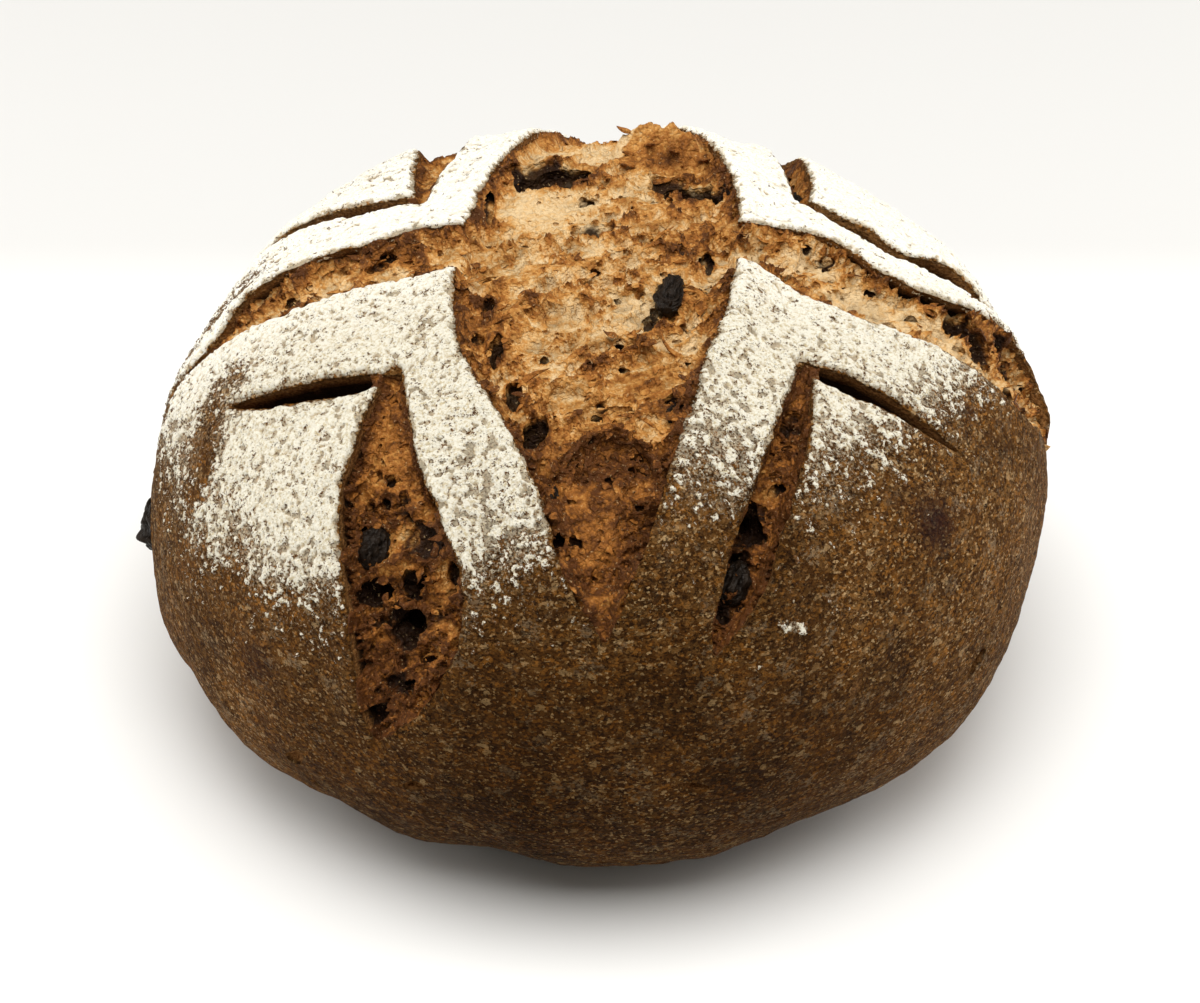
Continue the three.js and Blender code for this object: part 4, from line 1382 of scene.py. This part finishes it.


# Crust colours where baking and painted shade make it darkest, and where it is palest
crustTones = {
    "ground": (rgb(0.0185, 0.0064, 0.0010), rgb(0.094, 0.0370, 0.0076)),
    "rust": (rgb(0.037, 0.0126, 0.0016), rgb(0.165, 0.0630, 0.0115)),
    "umber": (rgb(0.011, 0.0036, 0.0007), rgb(0.027, 0.0098, 0.0020)),
    "golden": (rgb(0.077, 0.0325, 0.0055), rgb(0.300, 0.150, 0.046)),
    "amber": (rgb(0.108, 0.0370, 0.0041), rgb(0.42, 0.170, 0.030)),
    "peel": (rgb(0.102, 0.0665, 0.0315), rgb(0.36, 0.260, 0.155)),
    "pale": (rgb(0.21, 0.122, 0.042), rgb(0.60, 0.410, 0.205)),
    "char": (rgb(0.006, 0.0020, 0.0003), rgb(0.013, 0.0042, 0.0007)),
}
# and those that don't follow the bake and its painted shade
crustMarks = {
    "stain": rgb(0.020, 0.006, 0.006),
    "wall": (rgb(0.12, 0.042, 0.010), rgb(0.40, 0.19, 0.06)),
    # painted shade deep in a cut's wall
    "deepWallShade": rgb(0.012, 0.005, 0.002),
    "powder": rgb(0.70, 0.61, 0.44),
    "sheen": rgb(1, 0.82, 0.62),
}


def crustBrown():
    material, wire = newMaterial("baked crust")
    spot = wire.place((1, 1, 1.4))
    # the bake tone, which holds painted shade on the front
    bake = wire.attribute("bake")
    tone = {name: bake.blend(dark, light) for name, (dark, light) in crustTones.items()}
    slow = wire.noise(wire.place(), 32, 3).step(0.35, 0.65)
    medium = wire.noise(spot, 170, 3).step(0.35, 0.68)
    fine = wire.noise(spot, 1500, 3, 0.65)
    pebble = wire.noise(spot, 430, 2, 0.5)
    # bran of a few sizes
    flakes = wire.cells(wire.warp(spot, 800, 0.0018), 600, "Color")
    specks = wire.cells(wire.warp(spot, 2200, 0.0008), 1700, "Color")
    sparks = wire.cells(wire.warp(spot, 1500, 0.0010), 1150, "Color")
    peel = wire.cells(wire.warp(spot, 420, 0.004), 230, "Color").step(0.70, 0.85)
    peel = peel * wire.noise(spot, 800, 3, 0.65).step(0.44, 0.58)
    coal = wire.noise(spot, 620, 3, 0.7).step(0.54, 0.67)
    rust = wire.noise(wire.place(), 60, 2).step(0.42, 0.62)
    # from the ground colour up
    colour = (rust * 0.6).blend(tone["ground"], tone["rust"])
    colour = (medium * 0.55).blend(colour, tone["umber"])
    colour = (flakes.step(0.50, 0.90) * (0.25 + slow * 0.5)).blend(colour, tone["golden"])
    colour = (specks.step(0.54, 0.84) * (0.45 + slow * 0.35)).blend(colour, tone["golden"])
    colour = (sparks.step(0.60, 0.84) * (0.4 + rust * 0.3)).blend(colour, tone["amber"])
    colour = (peel * 0.5).blend(colour, tone["peel"])
    colour = (specks.step(0.76, 0.88) * (0.4 + slow * 0.45)).blend(colour, tone["pale"])
    colour = (flakes.step(0.84, 0.95) * 0.55).blend(colour, tone["pale"])
    char = (fine.step(0.53, 0.64) * 0.8 + coal * 0.6).clamp()
    colour = (char * 0.92).blend(colour, tone["char"])
    stained = wire.attribute("stain")
    stain = (stained * 1.3 + (fine - 0.5) * 1.2).clamp()
    colour = ((stain * stained).clamp() * 0.85).blend(colour, crustMarks["stain"])
    # walls of the cuts, darkened deeper down as painted shade, and flour between the grains
    toasted = fine.step(0.3, 0.7).blend(*crustMarks["wall"])
    toasted = wire.attribute("deep").blend(toasted, crustMarks["deepWallShade"])
    colour = wire.attribute("wall").blend(colour, toasted)
    powder = wire.attribute("dust") * 0.8 + wire.noise(wire.place(), 1500, 2, 0.6) * 0.9
    colour = (powder.step(0.88, 1.15) * 0.6).blend(colour, crustMarks["powder"])
    bran = flakes.step(0.4, 0.8) * 0.3 + specks.step(0.4, 0.8) * 0.3
    lift = fine * 0.6 + bran + pebble * 1.6 - coal * 0.3
    wire.surface({
        "Base Color": colour,
        "Roughness": 0.85 - fine * 0.3,
        "Specular IOR Level": 0.03,
        "Sheen Weight": 0.012,
        "Sheen Roughness": 0.3,
        "Sheen Tint": crustMarks["sheen"],
        "Normal": wire.bump(1.0, 0.0016, lift),
    })
    return material


# Crumb colours: from pale to toasted, the painted shade in a pit, and the pale specks
crumbTones = {
    "toast": [(0.0, rgb(0.71, 0.51, 0.275)), (0.2, rgb(0.65, 0.405, 0.170)),
              (0.42, rgb(0.53, 0.248, 0.060)), (0.66, rgb(0.33, 0.120, 0.0205)),
              (1.0, rgb(0.092, 0.0290, 0.0050))],
    "pit": rgb(0.014, 0.0050, 0.0013),
    "speck": rgb(0.76, 0.52, 0.25),
}


def crumbTorn():
    material, wire = newMaterial("torn crumb")
    spot = wire.place()
    fine = wire.noise(spot, 1400, 3, 0.6)
    grain = wire.noise(spot, 620, 3, 0.6)
    patch = wire.noise(spot, 150, 2, 0.5)
    web = wire.cells(wire.warp(spot, 500, 0.0022), 560).step(0.25, 0.75)
    net = wire.cells(wire.warp(spot, 1100, 0.0010), 1300).step(0.25, 0.75)
    toast = wire.attribute("toast") + (grain - 0.5) * 0.4 + (patch - 0.5) * 0.2
    toast = (toast + (web - 0.45) * 0.2 + (net - 0.45) * 0.14).clamp()
    colour = wire.add("ValToRGB", {"stops": crumbTones["toast"]}, {"Fac": toast})
    # painted shade in the pits
    colour = (wire.attribute("pit") * 0.96).clamp().blend(colour, crumbTones["pit"])
    colour = (fine.step(0.62, 0.74) * 0.5).blend(colour, crumbTones["speck"])
    lift = fine * 0.45 + grain * 0.6 + web * 0.5 + net * 0.25
    wire.surface({
        "Base Color": colour,
        "Roughness": 0.45 + grain * 0.3,
        "Specular IOR Level": 0.14,
        "Normal": wire.bump(0.8, 0.0011, lift),
    })
    return material


# Flour colours at the back and, darkened as painted shade, at the front, and the crust that shows between
# the grains
flourTones = {
    "white": (rgb(0.96, 0.93, 0.845), rgb(0.78, 0.735, 0.612)),
    "cream": (rgb(0.86, 0.785, 0.60), rgb(0.56, 0.465, 0.29)),
    "thin": (rgb(0.60, 0.48, 0.30), rgb(0.48, 0.37, 0.22)),
    "crust": (rgb(0.048, 0.017, 0.003), rgb(0.17, 0.075, 0.020)),
}


def flourDust():
    material, wire = newMaterial("baked flour")
    spot = wire.place()
    fine = wire.noise(spot, 2300, 2, 0.6)
    grain = wire.noise(spot, 1900, 3, 0.65)
    clump = wire.noise(spot, 420, 2, 0.5)
    cover = wire.attribute("cover")
    thick = wire.attribute("thick")
    front = wire.attribute("front")
    # the front is darkened as painted shade
    white = front.blend(*flourTones["white"])
    white = wire.noise(spot, 1300, 3, 0.7).step(0.34, 0.54).blend(front.blend(*flourTones["cream"]), white)
    thin = front.blend(*flourTones["thin"])
    colour = (thick * 1.4 + (clump - 0.5) * 0.8).clamp().blend(thin, white)
    bare = grain + (1 - cover) * 0.3 + (1 - thick) * 0.16 + (clump - 0.5) * 0.4 + front * 0.02
    bare = bare.step(0.67, 0.76)
    colour = (bare * 0.98).blend(colour, fine.step(0.35, 0.65).blend(*flourTones["crust"]))
    wire.surface({
        "Base Color": colour,
        "Roughness": 0.95,
        "Specular IOR Level": 0.1,
        "Normal": wire.bump(0.9, 0.0008, grain - bare * 0.4 + clump * 0.5),
    })
    return material


# Raisin colours: darker in the creases as painted shade, and on the ridges
raisinTones = {
    "crease": rgb(0.002, 0.0011, 0.0006),
    "ridge": rgb(0.012, 0.0070, 0.0040),
    "shine": rgb(1, 0.9, 0.8),
}


def raisinSkin():
    material, wire = newMaterial("raisin skin")
    spot = wire.place()
    grain = wire.noise(spot, 900, 3, 0.6)
    wrinkle = wire.noise(spot, 420, 3, 0.6)
    ridge = (wire.attribute("crease") * 0.7 + grain * 0.4).clamp()
    wire.surface({
        "Base Color": ridge.blend(raisinTones["crease"], raisinTones["ridge"]),
        "Roughness": 0.2 + grain * 0.5,
        "Specular IOR Level": 0.13,
        "Specular Tint": raisinTones["shine"],
        "Normal": wire.bump(0.9, 0.0009, grain * 0.4 + wrinkle),
    })
    return material


# Pale floor in metres; behind the join with the backdrop it is painted a little greyer, as painted shade
stageSet = {
    "half": 2.4, "join": 0.182, "blur": 0.03, "roughness": 0.7,
    "near": rgb(0.82, 0.81, 0.785), "far": rgb(0.66, 0.652, 0.632),
}


def makeStage():
    deselectAll()
    bpy.ops.mesh.primitive_plane_add(size=2 * stageSet["half"])
    floor = bpy.context.object
    floor.name = "floor_sheet"
    material, wire = newMaterial("studio paper")
    back = wire.add("SeparateXYZ", None, {"Vector": wire.place()}, 1)
    # painted shade: greyer behind the join
    tone = back.step(stageSet["join"] - stageSet["blur"], stageSet["join"] + stageSet["blur"])
    colour = tone.blend(stageSet["near"], stageSet["far"])
    wire.surface({"Base Color": colour, "Roughness": stageSet["roughness"]})
    dress(floor, material)
    print("floor laid")


# Soft lights: place in metres, what they look at, size and power in watts
lightSet = {
    "overhead": ((0.0, -0.45, 1.85), (0, 0, 0), 1.6, 47),
    "left": ((-1.3, 0.35, 0.5), (0, 0, 0.06), 1.0, 11),
    "right": ((1.3, 0.35, 0.5), (0, 0, 0.06), 1.0, 11),
}
worldSet = {"Color": rgb(1, 0.96, 0.87), "Strength": 0.2}


def setLights():
    for name, (place, target, size, power) in lightSet.items():
        deselectAll()
        bpy.ops.object.light_add(type="AREA", location=place)
        lamp = bpy.context.object
        lamp.name = "light_" + name
        lamp.data.size = size
        lamp.data.energy = power
        lamp.rotation_euler = (Vector(target) - Vector(place)).to_track_quat("-Z", "Y").to_euler()
    world = bpy.data.worlds.new("studio")
    world.use_nodes = True
    Wire(world.node_tree).fill(world.node_tree.nodes["Background"], worldSet)
    bpy.context.scene.world = world
    bpy.context.scene.view_settings.view_transform = "Standard"
    bpy.context.scene.view_settings.look = "None"
    print("lights set")


setCamera()
dress(makeCrust(), crustBrown())
crumbMaterial = crumbTorn()
for crumb in makeCrumb() + [makeShreds()]:
    dress(crumb, crumbMaterial)
flourMaterial = flourDust()
for field in makeFlour():
    dress(field, flourMaterial)
raisinMaterial = raisinSkin()
for seed, (node, values) in enumerate(raisinSet.items()):
    dress(makeRaisin(node, *values, seed), raisinMaterial)
print("raisins set:", len(raisinSet))
makeStage()
setLights()
